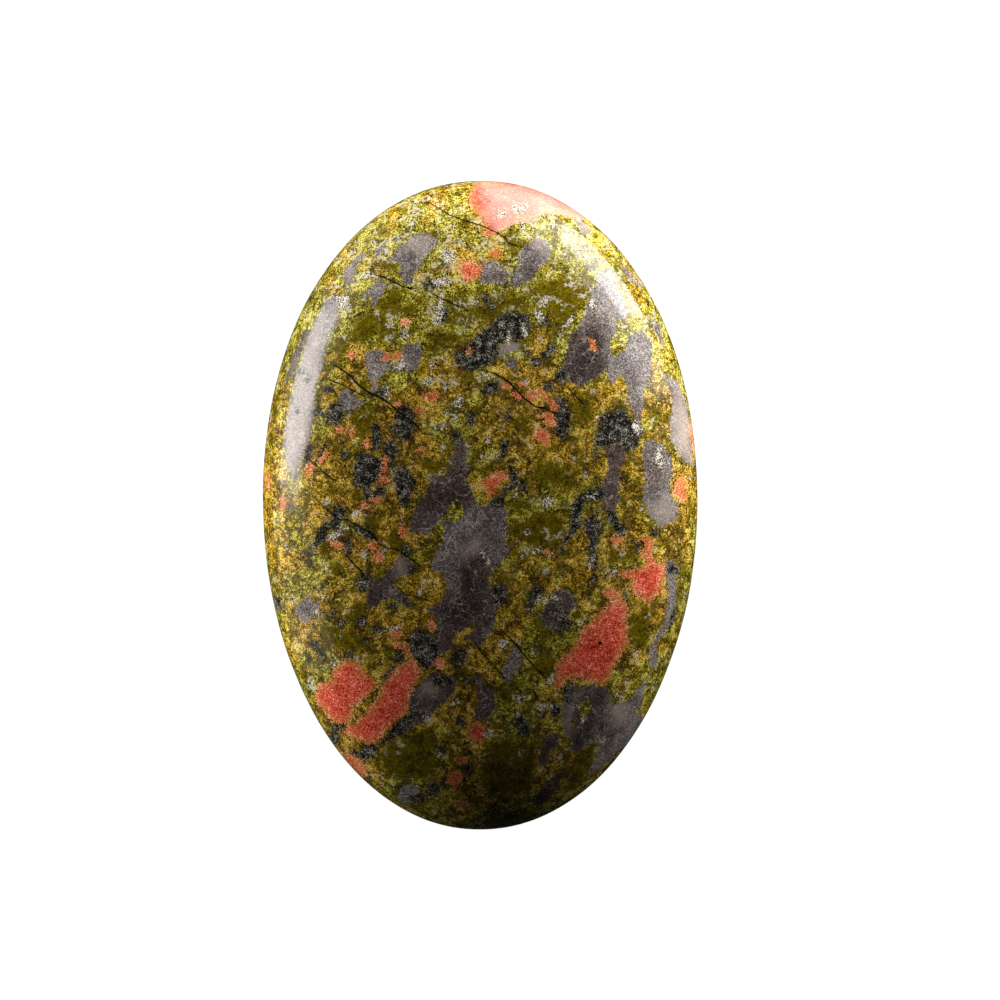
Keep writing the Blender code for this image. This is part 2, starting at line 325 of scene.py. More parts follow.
# The crown's small bodies, as the values of a Fleck.
OVALS: dict[Mineral, tuple[tuple[float, ...], ...]] = {
    Mineral.PALE: (
        (565, 327, 17, 2.2, 58), (594, 309, 9, 2, -70), (487, 560, 11, 2, -55), (527, 532, 3, 3),
        (452, 540, 3, 3), (518, 209, 8, 5), (500, 214, 6, 4), (515, 206, 5, 5), (525, 206, 4, 3),
        (524, 228, 5, 3, 80), (448, 256, 9, 8), (545, 302, 7, 5, 60), (539, 316, 7, 6), (442, 282, 11, 5),
        (439, 310, 18, 5, 80), (476, 303, 5, 3), (525, 331, 8, 2.5, -70), (508, 339, 7, 3, 80),
        (370, 276, 9, 5, -10), (343, 302, 8, 7, 60), (432, 366, 5, 3.5, 80), (437, 358, 9, 2.5),
        (428, 381, 8, 4.5), (455, 384, 5, 3.5, 50), (446, 388, 3, 3), (459, 403, 5, 6),
        (448, 412, 4, 2.5, 80), (443, 427, 4, 3), (455, 417, 6, 4, 60), (442, 448, 5, 3, 30),
        (487, 440, 3, 3), (482, 456, 4, 2.5, 80), (495, 456, 4, 3), (490, 378, 6, 3), (482, 375, 3, 3),
        (547, 502, 8, 5), (517, 490, 8, 1.5, 85), (637, 428, 5, 6), (586, 475, 3, 3), (591, 497, 5, 2.5),
        (598, 418, 3, 1.5, 80), (335, 535, 9, 5, 20), (343, 528, 5, 4), (326, 597, 5, 3, -20),
        (326, 589, 3, 2), (347, 612, 4, 1.5, 60), (336, 662, 6, 3, 20), (391, 628, 8, 2.5),
        (379, 633, 4, 2, 60), (364, 555, 5, 3.5, 70), (317, 615, 6, 4.5, 60), (523, 551, 6, 2.5, 80),
        (516, 544, 3, 2.5), (535, 551, 7, 2.5), (540, 600, 7, 4, 40), (555, 598, 4, 2), (514, 599, 3, 2.5),
        (530, 611, 4, 2, -70), (519, 642, 3, 2), (527, 627, 2, 2), (533, 651, 3, 2), (504, 645, 6, 4, 70),
        (614, 572, 4.5, 2.5, 80), (603, 574, 3, 1.5, 30), (591, 562, 10, 1.8, 80), (595, 548, 4, 2, 60),
        (582, 621, 9, 2, 45), (658, 455, 8, 3, 70), (664, 463, 5, 4), (421, 590, 7, 2, 60),
        (522, 697, 6, 2.5, 20), (539, 706, 6, 3, 70), (549, 706, 5, 4), (517, 714, 5, 2.5, 50),
        (489, 734, 6, 3.5), (454, 703, 5, 2.5, 45), (427, 719, 4, 3), (370, 774, 6, 1.8, -20),
        (381, 776, 3, 1.5), (311, 683, 6, 3, 70), (574, 684, 5, 1.8, 10), (585, 719, 7, 1.8, 60),
        (575, 707, 5, 3), (614, 685, 4, 1.8, 80), (617, 695, 5, 2.5), (628, 681, 3, 3),
        (634, 655, 5, 2.5, 60), (604, 741, 5, 2.5, 60), (617, 738, 5, 2.5, 60), (512, 796, 4, 3),
        (401, 365, 8, 6), (388, 392, 6, 2.5, 80), (375, 372, 3, 8), (328, 502, 4, 3), (356, 514, 6, 4),
        (440, 756, 3, 2), (550, 680, 6, 4, 40), (390, 325, 5, 4), (405, 335, 4, 6),
    ),
    Mineral.SMOKY: (
        (481, 700, 22, 15, 90), (430, 640, 22, 16, 70),
    ),
    Mineral.DARK: (
        (302, 372, 3, 2.5), (307, 378, 3.5, 2, 60), (298, 411, 2.5, 2.5), (593, 548, 22, 3.5, -84),
        (440, 751, 4.5, 4), (418, 798, 10, 3.5), (469, 769, 7, 4, 80), (339, 727, 8, 2.5, -10),
        (334, 737, 4, 7), (278, 603, 8, 3, -75), (322, 453, 8, 3, 60), (308, 455, 9, 2.5, 75),
        (346, 454, 5, 4), (548, 387, 3.5, 4.5), (555, 402, 3, 4), (561, 375, 5, 6), (329, 389, 4, 3),
        (317, 413, 3, 4), (471, 419, 7, 4, 80), (456, 434, 5, 4), (457, 442, 5, 3), (501, 415, 3, 2),
        (508, 418, 3, 2, 60), (504, 450, 8, 2.5, 75), (491, 388, 9, 5, 40), (524, 487, 8, 2, -60),
        (536, 362, 5, 4), (545, 356, 5, 3, 50), (527, 353, 5, 2, -60), (342, 624, 4, 3),
        (362, 621, 5, 3.5, 50), (376, 629, 5, 2.5), (365, 639, 4, 3), (349, 655, 4, 3),
        (320, 652, 5, 2.5, -60), (314, 645, 4, 3), (333, 614, 2.5, 2), (406, 552, 5, 5), (602, 728, 2, 2),
        (541, 714, 3, 2), (556, 710, 6, 4, 80), (594, 578, 4, 3, 30), (626, 597, 5, 1.5, 80),
        (602, 613, 4, 2, 30), (488, 302, 7, 2, -50), (432, 284, 7, 3), (444, 315, 10, 2.5, 70),
        (544, 321, 6, 3), (383, 393, 5, 5), (411, 483, 5, 6), (550, 349, 4, 2, 50), (443, 681, 10, 6),
        (388, 676, 7, 3, 50), (467, 681, 3, 3), (461, 722, 4, 3), (568, 695, 5, 8), (564, 620, 5, 8),
        (672, 617, 6, 2, 70), (672, 570, 6, 4, -30), (637, 545, 3, 3), (655, 533, 4, 3), (393, 606, 5, 3),
        (412, 570, 4, 3), (400, 428, 9, 6, 70),
    ),
    Mineral.FELDSPAR: (
        (431, 397, 8, 5, 10), (420, 410, 5, 4), (340, 430, 4, 3), (351, 433, 7, 3, -60), (366, 443, 4, 3),
        (398, 404, 4, 3), (385, 465, 9, 2.5, 80), (384, 480, 7, 3, 10), (324, 457, 7, 3, 55),
        (309, 469, 7, 3.5, 80), (421, 450, 4, 2.5), (405, 321, 5, 4), (376, 501, 5, 3), (364, 506, 6, 3),
        (440, 663, 6, 5), (470, 352, 3, 2), (518, 396, 6, 4, -30), (532, 397, 6, 5), (522, 384, 4, 3),
        (505, 386, 5, 4), (538, 416, 3, 2.5), (496, 253, 5, 4), (618, 541, 7, 4.5), (610, 593, 8, 5),
        (396, 646, 3.5, 3.5), (406, 650, 3, 5), (396, 634, 5, 3.5), (548, 553, 4, 3), (461, 760, 6, 3.5),
        (461, 805, 8, 3), (336, 545, 6, 4), (371, 500, 3, 2), (386, 357, 4, 4), (351, 355, 5, 5),
        (397, 356, 5, 3), (283, 503, 3, 6), (268, 482, 2.5, 7), (378, 558, 4, 6), (373, 545, 5, 4),
        (403, 532, 4, 5),
    ),
    Mineral.OLIVE: (
        (420, 300, 7, 6), (413, 308, 7, 7), (461, 306, 9, 6), (445, 338, 22, 8), (522, 424, 9, 10),
        (505, 580, 12, 7), (338, 570, 8, 11), (545, 665, 16, 11), (634, 557, 8, 8), (582, 414, 12, 8),
        (655, 413, 8, 7), (403, 235, 10, 6, 40), (388, 266, 10, 6), (336, 492, 10, 6), (497, 462, 9, 6),
        (390, 330, 8, 9), (372, 664, 8, 6), (375, 740, 5, 5), (435, 465, 14, 8), (520, 505, 12, 7),
        (690, 500, 3, 12), (604, 604, 10, 7), (590, 640, 5, 3), (480, 455, 7, 9), (460, 320, 14, 6),
        (342, 345, 8, 10), (572, 440, 10, 6), (590, 395, 9, 6), (540, 620, 8, 12),
    ),
    Mineral.OCHRE: (
        (463, 242, 12, 13), (434, 268, 15, 11), (462, 314, 7, 4), (538, 337, 9, 8), (432, 368, 9, 5),
        (455, 372, 16, 8), (441, 465, 6, 10), (414, 437, 7, 8), (558, 450, 10, 20), (597, 465, 9, 11),
        (610, 402, 11, 7), (639, 500, 7, 10), (390, 425, 10, 14), (384, 620, 17, 9), (375, 550, 26, 14),
        (409, 584, 7, 9), (438, 583, 8, 7), (418, 618, 8, 6), (475, 649, 7, 7), (552, 583, 8, 9),
        (515, 575, 7, 5), (441, 662, 8, 7), (467, 700, 8, 10), (442, 713, 9, 5), (475, 759, 6, 9),
        (355, 745, 10, 7), (298, 630, 12, 20), (631, 604, 7, 8), (655, 616, 7, 17), (687, 484, 4, 17),
        (636, 294, 9, 7, -50), (330, 475, 14, 22), (352, 495, 16, 14), (320, 510, 9, 20), (575, 400, 6, 9),
        (585, 460, 12, 8), (570, 560, 14, 18), (496, 420, 12, 10), (636, 465, 8, 16), (366, 268, 10, 8),
        (392, 212, 10, 5, 30), (438, 196, 16, 7, 15), (348, 375, 16, 8), (415, 640, 6, 6), (562, 755, 8, 12),
        (505, 610, 9, 10),
    ),
    Mineral.MILKY: (
        (570, 716, 6, 16), (471, 548, 13, 4, 40), (662, 510, 11, 14), (349, 272, 5, 9), (420, 245, 10, 9),
        (510, 348, 8, 6), (400, 566, 6, 8), (430, 690, 9, 7), (376, 380, 3, 8), (620, 715, 10, 12),
        (585, 231, 4, 4), (540, 245, 6, 5),
    ),
    Mineral.EPIDOTE: (
        (572, 722, 2, 3),
    ),
}

CRACKS = {
    "top": Crack(((408, 204), (430, 203), (450, 215), (460, 219), (480, 225), (498, 233), (505, 238),
            (510, 244), (533, 250)), 0.1),
    "upper_left": Crack(((372, 274), (383, 277), (404, 287), (418, 289)), 0.15),
    "upper_left_end": Crack(((428, 291), (444, 300), (468, 310)), 0.1),
    "upper_left_short": Crack(((353, 317), (362, 312)), 0.1),
    "left_bold": Crack(((326, 360), (347, 373), (361, 387), (368, 392), (384, 400), (390, 404), (401, 414),
            (410, 420), (418, 427), (422, 433), (431, 435)), 0.2),
    "left_side": Crack(((323, 375), (332, 381), (340, 384), (364, 396), (374, 399)), 0.1),
    "left_side_short": Crack(((352, 394), (356, 389)), 0.12),
    "middle_bold": Crack(((481, 370), (496, 374), (508, 381), (524, 398), (536, 407), (544, 408),
            (558, 415)), 0.2),
    "left_middle": Crack(((308, 459), (331, 478), (340, 483)), 0.14),
    "left_long": Crack(((308, 491), (324, 507), (340, 520), (348, 520), (360, 528), (368, 531), (380, 544),
            (388, 549), (396, 549), (410, 558), (418, 564), (430, 577)), 0.15),
    "left_low": Crack(((346, 556), (364, 574)), 0.14),
    "middle_low": Crack(((390, 580), (405, 594), (428, 600), (437, 607)), 0.1),
    "low_right": Crack(((498, 627), (513, 641), (530, 662), (546, 679)), 0.15),
    "low_left": Crack(((473, 640), (480, 650), (508, 682)), 0.14),
    "right_short": Crack(((567, 387), (584, 405)), 0.1),
    "right_low": Crack(((632, 499), (638, 506)), 0.08),
    "feldspar_slit": Crack(((640, 540), (644, 544)), 0.25),
    "feldspar_groove": Crack(((589, 649), (597, 646)), 0.1),
}

PITS = {
    "feldspar_pit": Pit((600, 643), 0.2),
    "feldspar_pit_small": Pit((616, 642), 0.1),
    "quartz_pit": Pit((602, 728), 0.1),
}

# How each mineral lies where the photograph doesn't reach.
SCATTER = {
    Mineral.QUARTZ: Scatter(per_mm=0.16, seed=11, level=0.56),
    Mineral.FELDSPAR: Scatter(per_mm=0.14, seed=12, level=0.62),
    Mineral.DARK: Scatter(per_mm=0.20, seed=13, level=0.62),
    Mineral.OLIVE: Scatter(per_mm=0.15, seed=14, level=0.60),
    Mineral.PALE: Scatter(per_mm=0.25, seed=15, level=0.64),
    Mineral.SMOKY: Scatter(per_mm=0.10, seed=17, level=0.50),
    Mineral.MILKY: Scatter(per_mm=0.30, seed=18, level=0.58),
    Mineral.OCHRE: Scatter(per_mm=0.20, seed=24, level=0.52),
}


@dataclass(frozen=True)
class PhotoView:
    """The photograph's camera: straight above, with the stone's length up the frame."""

    frame_pixels: float = 1000.0
    lens_mm: float = 180.0
    sensor_mm: float = 36.0
    stone_middle: Pixel = (480.2, 505.0)
    pixels_per_mm: float = 10.8

    @property
    def focal_pixels(self) -> float:
        """The lens's focal length in the photograph's pixels."""
        return self.lens_mm / self.sensor_mm * self.frame_pixels

    def place(self, girdle: float) -> Vector:
        """The camera's place.

        Args:
            girdle: The height of the stone's widest ring, where the scale holds.

        Returns:
            The place in metres, in the part's frame.
        """
        half = self.frame_pixels / 2
        right = (half - self.stone_middle[0]) / self.pixels_per_mm * MM
        ahead = (self.stone_middle[1] - half) / self.pixels_per_mm * MM
        return Vector((right, ahead, girdle + self.focal_pixels / self.pixels_per_mm * MM))

    def pixels(self, points: np.ndarray, girdle: float) -> np.ndarray:
        """Where the camera sees points.

        Args:
            points: Points in metres, one a row.
            girdle: The height of the stone's widest ring.

        Returns:
            One pixel a row, x to the right and y down.
        """
        eye = self.place(girdle)
        shrink = self.focal_pixels / (eye.z - points[:, 2])
        across = self.frame_pixels / 2 + (points[:, 0] - eye.x) * shrink
        down = self.frame_pixels / 2 - (points[:, 1] - eye.y) * shrink
        return np.stack([across, down], axis=1)


@dataclass(frozen=True)
class StoneForm:
    """The stone's form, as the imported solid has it.

    The outline is a superellipse, a little wider towards +Y. Rings are inset from
    it, and a slice from the rim to the middle is a superellipse too.
    """

    half_width: float
    half_length: float
    top: float
    outline_power: float = 2.05
    end_taper: float = 0.02
    profile_power: float = 2.5
    belly_height: float = 8.0 * MM
    foot_share: float = 0.22
    table_steps: int = 4000

    @property
    def girdle(self) -> float:
        """Height of the widest ring."""
        return self.belly_height * float(self.rise(np.array(self.foot_share)))

    @property
    def crown_height(self) -> float:
        """Height of the top over the widest ring."""
        return self.top - self.girdle

    def rise(self, share: np.ndarray) -> np.ndarray:
        """Height from the girdle, as a share of the middle's, at each ring's share."""
        inner = np.clip(1 - share**self.profile_power, 0, 1)
        return inner ** (1 / self.profile_power)

    def half_lengths(self, share: np.ndarray) -> np.ndarray:
        """Half length of each ring whose half width is that share of the stone's.

        Args:
            share: Rings, as shares from 0 to 1.

        Returns:
            One half length for each, in metres.
        """
        inset = self.half_width * (1 - share)
        stretch = self.half_length / self.half_width - 1
        return self.half_length - inset * (1 + stretch * (1 - share))

    def arcs(self, height: float, reach: np.ndarray, share: np.ndarray) -> np.ndarray:
        """Distances over the surface from the middle, along one slice.

        Args:
            height: The height of the middle from the girdle.
            reach: How far out each ring lies in that slice.
            share: The same rings' shares, from 0 to 1.

        Returns:
            The distance to each ring, in metres.
        """
        rise = height * self.rise(share)
        steps = np.hypot(np.diff(reach), np.diff(rise))
        return np.concatenate([[0.0], np.cumsum(steps)])

    def shares(self) -> np.ndarray:
        """Rings from the middle to the girdle, close together at the steep rim."""
        turn = np.linspace(0, QUARTER_TURN, self.table_steps)
        return np.sin(turn) ** (2 / self.profile_power)

    def rings(self, directions: np.ndarray, height: float) -> np.ndarray:
        """The ring that each direction of a unit sphere lies on.

        Args:
            directions: Unit vectors, one a row; only the angle from the pole counts.
            height: The height of that side's middle from the girdle.

        Returns:
            Each direction's share.
        """
        table = self.shares()
        arc = self.arcs(height, self.half_width * table, table)
        away = np.arccos(np.clip(np.abs(directions[:, 2]), 0, 1)) / QUARTER_TURN
        return np.interp(away, arc / arc[-1], table)

    def surface(self, directions: np.ndarray) -> np.ndarray:
        """The stone's surface for the directions of a unit sphere.

        Args:
            directions: Unit vectors, one a row.

        Returns:
            Points in metres, one a row.
        """
        up = directions[:, 2] >= 0
        crown = self.rings(directions, self.crown_height)
        belly = self.rings(directions, self.belly_height)
        share = np.where(up, crown, belly)
        angle = np.arctan2(directions[:, 1], directions[:, 0])
        power = 2 / self.outline_power
        across = np.copysign(np.abs(np.cos(angle)) ** power, np.cos(angle))
        along = np.copysign(np.abs(np.sin(angle)) ** power, np.sin(angle))
        y = self.half_lengths(share) * along
        x = self.half_width * share * across * (1 + self.end_taper * y / self.half_length)
        high = self.girdle + self.crown_height * self.rise(share)
        low = np.maximum(self.girdle - self.belly_height * self.rise(share), 0)
        return np.stack([x, y, np.where(up, high, low)], axis=1)

    def unrolled(self, directions: np.ndarray, crown: bool) -> np.ndarray:
        """One side of the stone, laid flat for its UV map.

        Args:
            directions: Unit vectors, one a row; they may pass the girdle a little.
            crown: True for the upper side.

        Returns:
            Flat places in metres, one a row, with the side's middle at (0, 0).
        """
        height = self.crown_height if crown else self.belly_height
        side = 1.0 if crown else -1.0
        away = np.arccos(np.clip(side * directions[:, 2], -1, 1)) / QUARTER_TURN
        table = self.shares()
        arc_x = self.arcs(height, self.half_width * table, table)
        arc_y = self.arcs(height, self.half_lengths(table), table)
        fraction = arc_x / arc_x[-1]
        inside = np.minimum(away, 1)
        past = np.maximum(away - 1, 0) * arc_x[-1]
        angle = np.arctan2(directions[:, 1], directions[:, 0])
        x = (np.interp(inside, fraction, arc_x) + past) * np.cos(angle)
        y = (np.interp(inside, fraction, arc_y) + past) * np.sin(angle)
        return np.stack([x, y], axis=1)


class DistanceField:
    """Signed distances, in millimetres, from outlines given in the photograph's pixels."""

    reach_pixels = 40.0
    crack_reach_pixels = 6.0
    crack_taper = 0.18
    crack_tail = -2.0
    off_crack_mm = -0.2

    def __init__(self, form: StoneForm, photo: PhotoView, points: np.ndarray) -> None:
        """Keeps the pixels that the photograph's camera sees the points at.

        Args:
            form: The stone's form.
            photo: The photograph's camera.
            points: Points in metres, one a row.
        """
        self.pixels = photo.pixels(points, form.girdle)
        self.pixels_per_mm = photo.pixels_per_mm

    def near(self, points: np.ndarray) -> np.ndarray:
        """Indices of the places within reach of the points' box.

        Args:
            points: Pixels, one a row.

        Returns:
            The indices, lowest first.
        """
        low = points.min(axis=0) - self.reach_pixels
        high = points.max(axis=0) + self.reach_pixels
        inside = np.all((self.pixels > low) & (self.pixels < high), axis=1)
        return np.nonzero(inside)[0]

    def outline(self, corners: Outline) -> tuple[np.ndarray, np.ndarray]:
        """Distance to a closed outline, positive inside.

        Args:
            corners: Its corners, in order.

        Returns:
            The indices of the places near it, and the distance at each.
        """
        starts = np.array(corners, float)
        chosen = self.near(starts)
        places = self.pixels[chosen]
        nearest = np.full(len(places), np.inf)
        inside = np.zeros(len(places), bool)
        for start, end in zip(starts, np.roll(starts, -1, axis=0)):
            edge = end - start
            away = places - start
            along = np.clip(away @ edge / (edge @ edge), 0, 1)
            gap = away - along[:, None] * edge
            nearest = np.minimum(nearest, np.hypot(gap[:, 0], gap[:, 1]))
            crosses = (start[1] > places[:, 1]) != (end[1] > places[:, 1])
            rise = edge[1] or TINY
            inside ^= crosses & (places[:, 0] < start[0] + edge[0] * away[:, 1] / rise)
        return chosen, np.where(inside, nearest, -nearest) / self.pixels_per_mm

    def oval(self, fleck: Fleck) -> tuple[np.ndarray, np.ndarray]:
        """Distance to an oval, positive inside.

        Args:
            fleck: The oval; a positive turn lifts its right end.

        Returns:
            The indices of the places near it, and about the distance at each.
        """
        middle = np.array([fleck.x, fleck.y])
        chosen = self.near(np.array([middle - fleck.long, middle + fleck.long]))
        away = self.pixels[chosen] - middle
        turn = math.radians(fleck.turn)
        along = away[:, 0] * math.cos(turn) - away[:, 1] * math.sin(turn)
        across = away[:, 0] * math.sin(turn) + away[:, 1] * math.cos(turn)
        level = np.hypot(along / fleck.long, across / fleck.short)
        slope = np.hypot(along / fleck.long**2, across / fleck.short**2) / np.maximum(level, TINY)
        return chosen, (1 - level) / np.maximum(slope, TINY) / self.pixels_per_mm

    def union(self, kind: Mineral) -> np.ndarray:
        """Distance to the nearest edge of any body of this kind, positive inside one.

        Args:
            kind: The mineral.

        Returns:
            The distance at every place.
        """
        field = np.full(len(self.pixels), -self.reach_pixels / self.pixels_per_mm)
        bodies = [self.outline(corners) for corners in OUTLINES.get(kind, {}).values()]
        bodies += [self.oval(Fleck(*sizes)) for sizes in OVALS.get(kind, ())]
        for chosen, distance in bodies:
            field[chosen] = np.maximum(field[chosen], distance)
        return field

    def crack(self, crack: Crack) -> tuple[np.ndarray, np.ndarray, np.ndarray]:
        """Places beside a crack.

        Args:
            crack: The crack, whose width runs out to nothing at both ends.

        Returns:
            The indices of the places near it, the signed distance to its line at
            each, and its half width there, which is negative past its ends.
        """
        route = np.array(crack.route, float)
        chosen = self.near(route)
        places = self.pixels[chosen]
        lengths = np.hypot(*np.diff(route, axis=0).T)
        starts = np.concatenate([[0.0], np.cumsum(lengths)[:-1]])
        total = lengths.sum()
        nearest = np.full(len(places), np.inf)
        side = np.zeros(len(places))
        way = np.zeros(len(places))
        for start, end, length, begins in zip(route, route[1:], lengths, starts):
            heading = (end - start) / length
            away = places - start
            free = away @ heading
            gap = away - np.clip(free, 0, length)[:, None] * heading
            distance = np.hypot(gap[:, 0], gap[:, 1])
            closer = distance < nearest
            nearest[closer] = distance[closer]
            side[closer] = (heading[0] * away[:, 1] - heading[1] * away[:, 0])[closer]
            way[closer] = begins + free[closer]
        room = np.minimum(way, total - way) / (self.crack_taper * total)
        half = crack.width_mm / 2 * np.clip(room, self.crack_tail, 1)
        half[nearest > self.crack_reach_pixels] = self.off_crack_mm
        return chosen, side / self.pixels_per_mm, half

    def pit(self, pit: Pit) -> np.ndarray:
        """Distance to a pit's rim at every place, positive inside."""
        away = (self.pixels - np.array(pit.middle)) / self.pixels_per_mm
        return pit.radius_mm - np.hypot(away[:, 0], away[:, 1])


class NodeSheet:
    """Adds shader nodes to a material and wires them, with one short call for each."""

    seed_stride = (17.3, 9.1, 5.7)

    def __init__(self, material: bpy.types.Material) -> None:
        """Starts on a material's own nodes, and reads places in millimetres.

        Args:
            material: The material, which uses nodes.
        """
        self.tree = material.node_tree
        scale = self.add("ShaderNodeVectorMath", operation="SCALE")
        self.wire(self.add("ShaderNodeTexCoord").outputs["Object"], scale.inputs[0])
        scale.inputs["Scale"].default_value = 1 / MM
        self.millimetres = scale.outputs[0]

    def add(self, kind: str, **settings: object) -> bpy.types.Node:
        """A new node of this kind, with its settings set.

        Args:
            kind: The node's type.
            settings: Its settings, by name.

        Returns:
            The node.
        """
        node = self.tree.nodes.new(kind)
        for name, value in settings.items():
            setattr(node, name, value)
        return node

    def wire(self, value: object, socket: Socket) -> None:
        """Links a socket to another, or sets it to a plain value.

        Args:
            value: A socket, a number or a colour.
            socket: The input that takes it.
        """
        if isinstance(value, Socket):
            self.tree.links.new(value, socket)
        elif isinstance(value, tuple) and socket.type == "RGBA":
            socket.default_value = (*value, 1.0)
        else:
            socket.default_value = value

    def math(self, operation: str, *values: object) -> Socket:
        """A Math node's result.

        Args:
            operation: What the node does.
            values: Its inputs, in order.

        Returns:
            The result.
        """
        node = self.add("ShaderNodeMath", operation=operation)
        for value, socket in zip(values, node.inputs):
            self.wire(value, socket)
        return node.outputs[0]

    def scaled(self, value: object, factor: object) -> Socket:
        """A value times a factor."""
        return self.math("MULTIPLY", value, factor)

    def minus(self, value: object, other: object) -> Socket:
        """A value less another."""
        return self.math("SUBTRACT", value, other)

    def total(self, *values: object) -> Socket:
        """The sum of several values.

        Args:
            values: Numbers or sockets.

        Returns:
            The sum.
        """
        result = values[0]
        for value in values[1:]:
            result = self.math("ADD", result, value)
        return result

    def weighted(self, *parts: tuple[object, float], base: float = 0.0) -> Socket:
        """A base and, on top of it, each value times its weight."""
        return self.total(base, *(self.scaled(value, weight) for value, weight in parts))

    def offset(self, seed: float, vector: Socket | None = None) -> Socket:
        """The coordinates moved far away, so that each seed's pattern is its own.

        Args:
            seed: The pattern's number.
            vector: The coordinates, or none for plain millimetres.

        Returns:
            The moved coordinates.
        """
        node = self.add("ShaderNodeVectorMath", operation="ADD")
        self.wire(vector or self.millimetres, node.inputs[0])
        node.inputs[1].default_value = [seed * stride for stride in self.seed_stride]
        return node.outputs[0]

    def texture(
        self, kind: str, seed: float, vector: Socket | None = None, **inputs: float
    ) -> bpy.types.Node:
        """A texture node on the coordinates of a seed, with its inputs set by name.

        Args:
            kind: The node's type.
            seed: Its pattern's number.
            vector: Its coordinates, if not plain.
            inputs: Its other inputs.

        Returns:
            The node.
        """
        node = self.add(kind)
        self.wire(self.offset(seed, vector), node.inputs["Vector"])
        for name, value in inputs.items():
            node.inputs[name].default_value = value
        return node

    def noise(
        self, per_mm: float, seed: float, detail: float = 2.0, roughness: float = 0.5, distortion: float = 0.0
    ) -> Socket:
        """Noise from 0 to 1, with about this many bumps to a millimetre.

        Args:
            per_mm: Bumps to a millimetre.
            seed: The pattern's number.
            detail: How many finer layers it has.
            roughness: How strong they are.
            distortion: How far it swirls.

        Returns:
            The noise, about 0.5 on the whole.
        """
        settings = {"Scale": per_mm, "Detail": detail, "Roughness": roughness, "Distortion": distortion}
        return self.texture("ShaderNodeTexNoise", seed, **settings).outputs["Fac"]

    def wobble(self, per_mm: float, seed: float, size: float, detail: float = 2.0) -> Socket:
        """Noise about 0, of this size in millimetres or tones."""
        return self.scaled(self.minus(self.noise(per_mm, seed, detail, roughness=0.6), 0.5), size)

    def cells(self, per_mm: float, seed: float, vector: Socket | None = None) -> bpy.types.Node:
        """A Voronoi node with about this many cells to a millimetre."""
        return self.texture("ShaderNodeTexVoronoi", seed, vector, Scale=per_mm)

    def tones(self, cells: bpy.types.Node) -> list[Socket]:
        """Three numbers about 0, from -0.5 to 0.5, that each cell has for itself.

        Args:
            cells: The cells' Voronoi node.

        Returns:
            The three numbers.
        """
        parts = self.add("ShaderNodeSeparateColor")
        self.wire(cells.outputs["Color"], parts.inputs[0])
        return [self.minus(part, 0.5) for part in parts.outputs]

    def edges(self, cells: bpy.types.Node) -> Socket:
        """About how far each place is from the edge of its cell.

        Args:
            cells: The cells' Voronoi node.

        Returns:
            About the distance, in cells.
        """
        further = self.add("ShaderNodeTexVoronoi", feature="F2")
        self.wire(cells.inputs["Vector"].links[0].from_socket, further.inputs["Vector"])
        further.inputs["Scale"].default_value = cells.inputs["Scale"].default_value
        between = self.minus(further.outputs["Distance"], cells.outputs["Distance"])
        return self.scaled(between, 0.5)

    def warped(self, per_mm: float, seed: float, size: float) -> Socket:
        """The coordinates, pushed about by noise of this size in millimetres.

        Args:
            per_mm: Bumps to a millimetre.
            seed: The noise's number.
            size: How far it may push, end to end.

        Returns:
            The coordinates, in millimetres.
        """
        noise = self.texture("ShaderNodeTexNoise", seed, Scale=per_mm, Detail=3.0)
        centred = self.add("ShaderNodeVectorMath", operation="SUBTRACT")
        self.wire(noise.outputs["Color"], centred.inputs[0])
        centred.inputs[1].default_value = (0.5, 0.5, 0.5)
        push = self.add("ShaderNodeVectorMath", operation="SCALE")
        self.wire(centred.outputs[0], push.inputs[0])
        push.inputs["Scale"].default_value = size
        moved = self.add("ShaderNodeVectorMath", operation="ADD")
        self.wire(self.millimetres, moved.inputs[0])
        self.wire(push.outputs[0], moved.inputs[1])
        return moved.outputs[0]

    def step(self, value: object, low: float, high: float) -> Socket:
        """A smooth step from 0, where the value is low, to 1, where it is high.

        Args:
            value: The value.
            low: Where the step starts.
            high: Where it ends, which may be under where it starts.

        Returns:
            The step.
        """
        node = self.add("ShaderNodeMapRange", interpolation_type="SMOOTHSTEP")
        self.wire(value, node.inputs["Value"])
        node.inputs["From Min"].default_value = low
        node.inputs["From Max"].default_value = high
        return node.outputs["Result"]

    def ramp(self, value: object, stops: Ramp) -> Socket:
        """A colour from a ramp of (place, colour) stops.

        Args:
            value: The place on the ramp.
            stops: At least two stops, in order.

        Returns:
            The colour.
        """
        node = self.add("ShaderNodeValToRGB")
        elements = node.color_ramp.elements
        for element, (place, color) in zip(elements, (stops[0], stops[-1])):
            element.position = place
            element.color = (*color, 1.0)
        for place, color in stops[1:-1]:
            elements.new(place).color = (*color, 1.0)
        self.wire(value, node.inputs["Fac"])
        return node.outputs["Color"]

    def mix(self, share: object, first: object, second: object, way: str = "MIX") -> Socket:
        """Two colours mixed, the second by this share.

        Args:
            share: From 0, the first, to 1, the second.
            first: A colour.
            second: The other one.
            way: How Blender mixes them.

        Returns:
            The mixed colour.
        """
        node = self.add("ShaderNodeMix", data_type="RGBA", blend_type=way)
        self.wire(share, node.inputs[0])
        self.wire(first, node.inputs[6])
        self.wire(second, node.inputs[7])
        return node.outputs[2]

    def laid(self, color: object, top: object, *shares: object, strength: float) -> Socket:
        """A colour with another laid over it, by the strength times the shares.

        Args:
            color: The colour underneath.
            top: The colour over it.
            shares: Where it shows, each from 0 to 1.
            strength: How much of it shows at most.

        Returns:
            The mixed colour.
        """
        cover = strength
        for share in shares:
            cover = self.scaled(cover, share)
        return self.mix(cover, color, top)

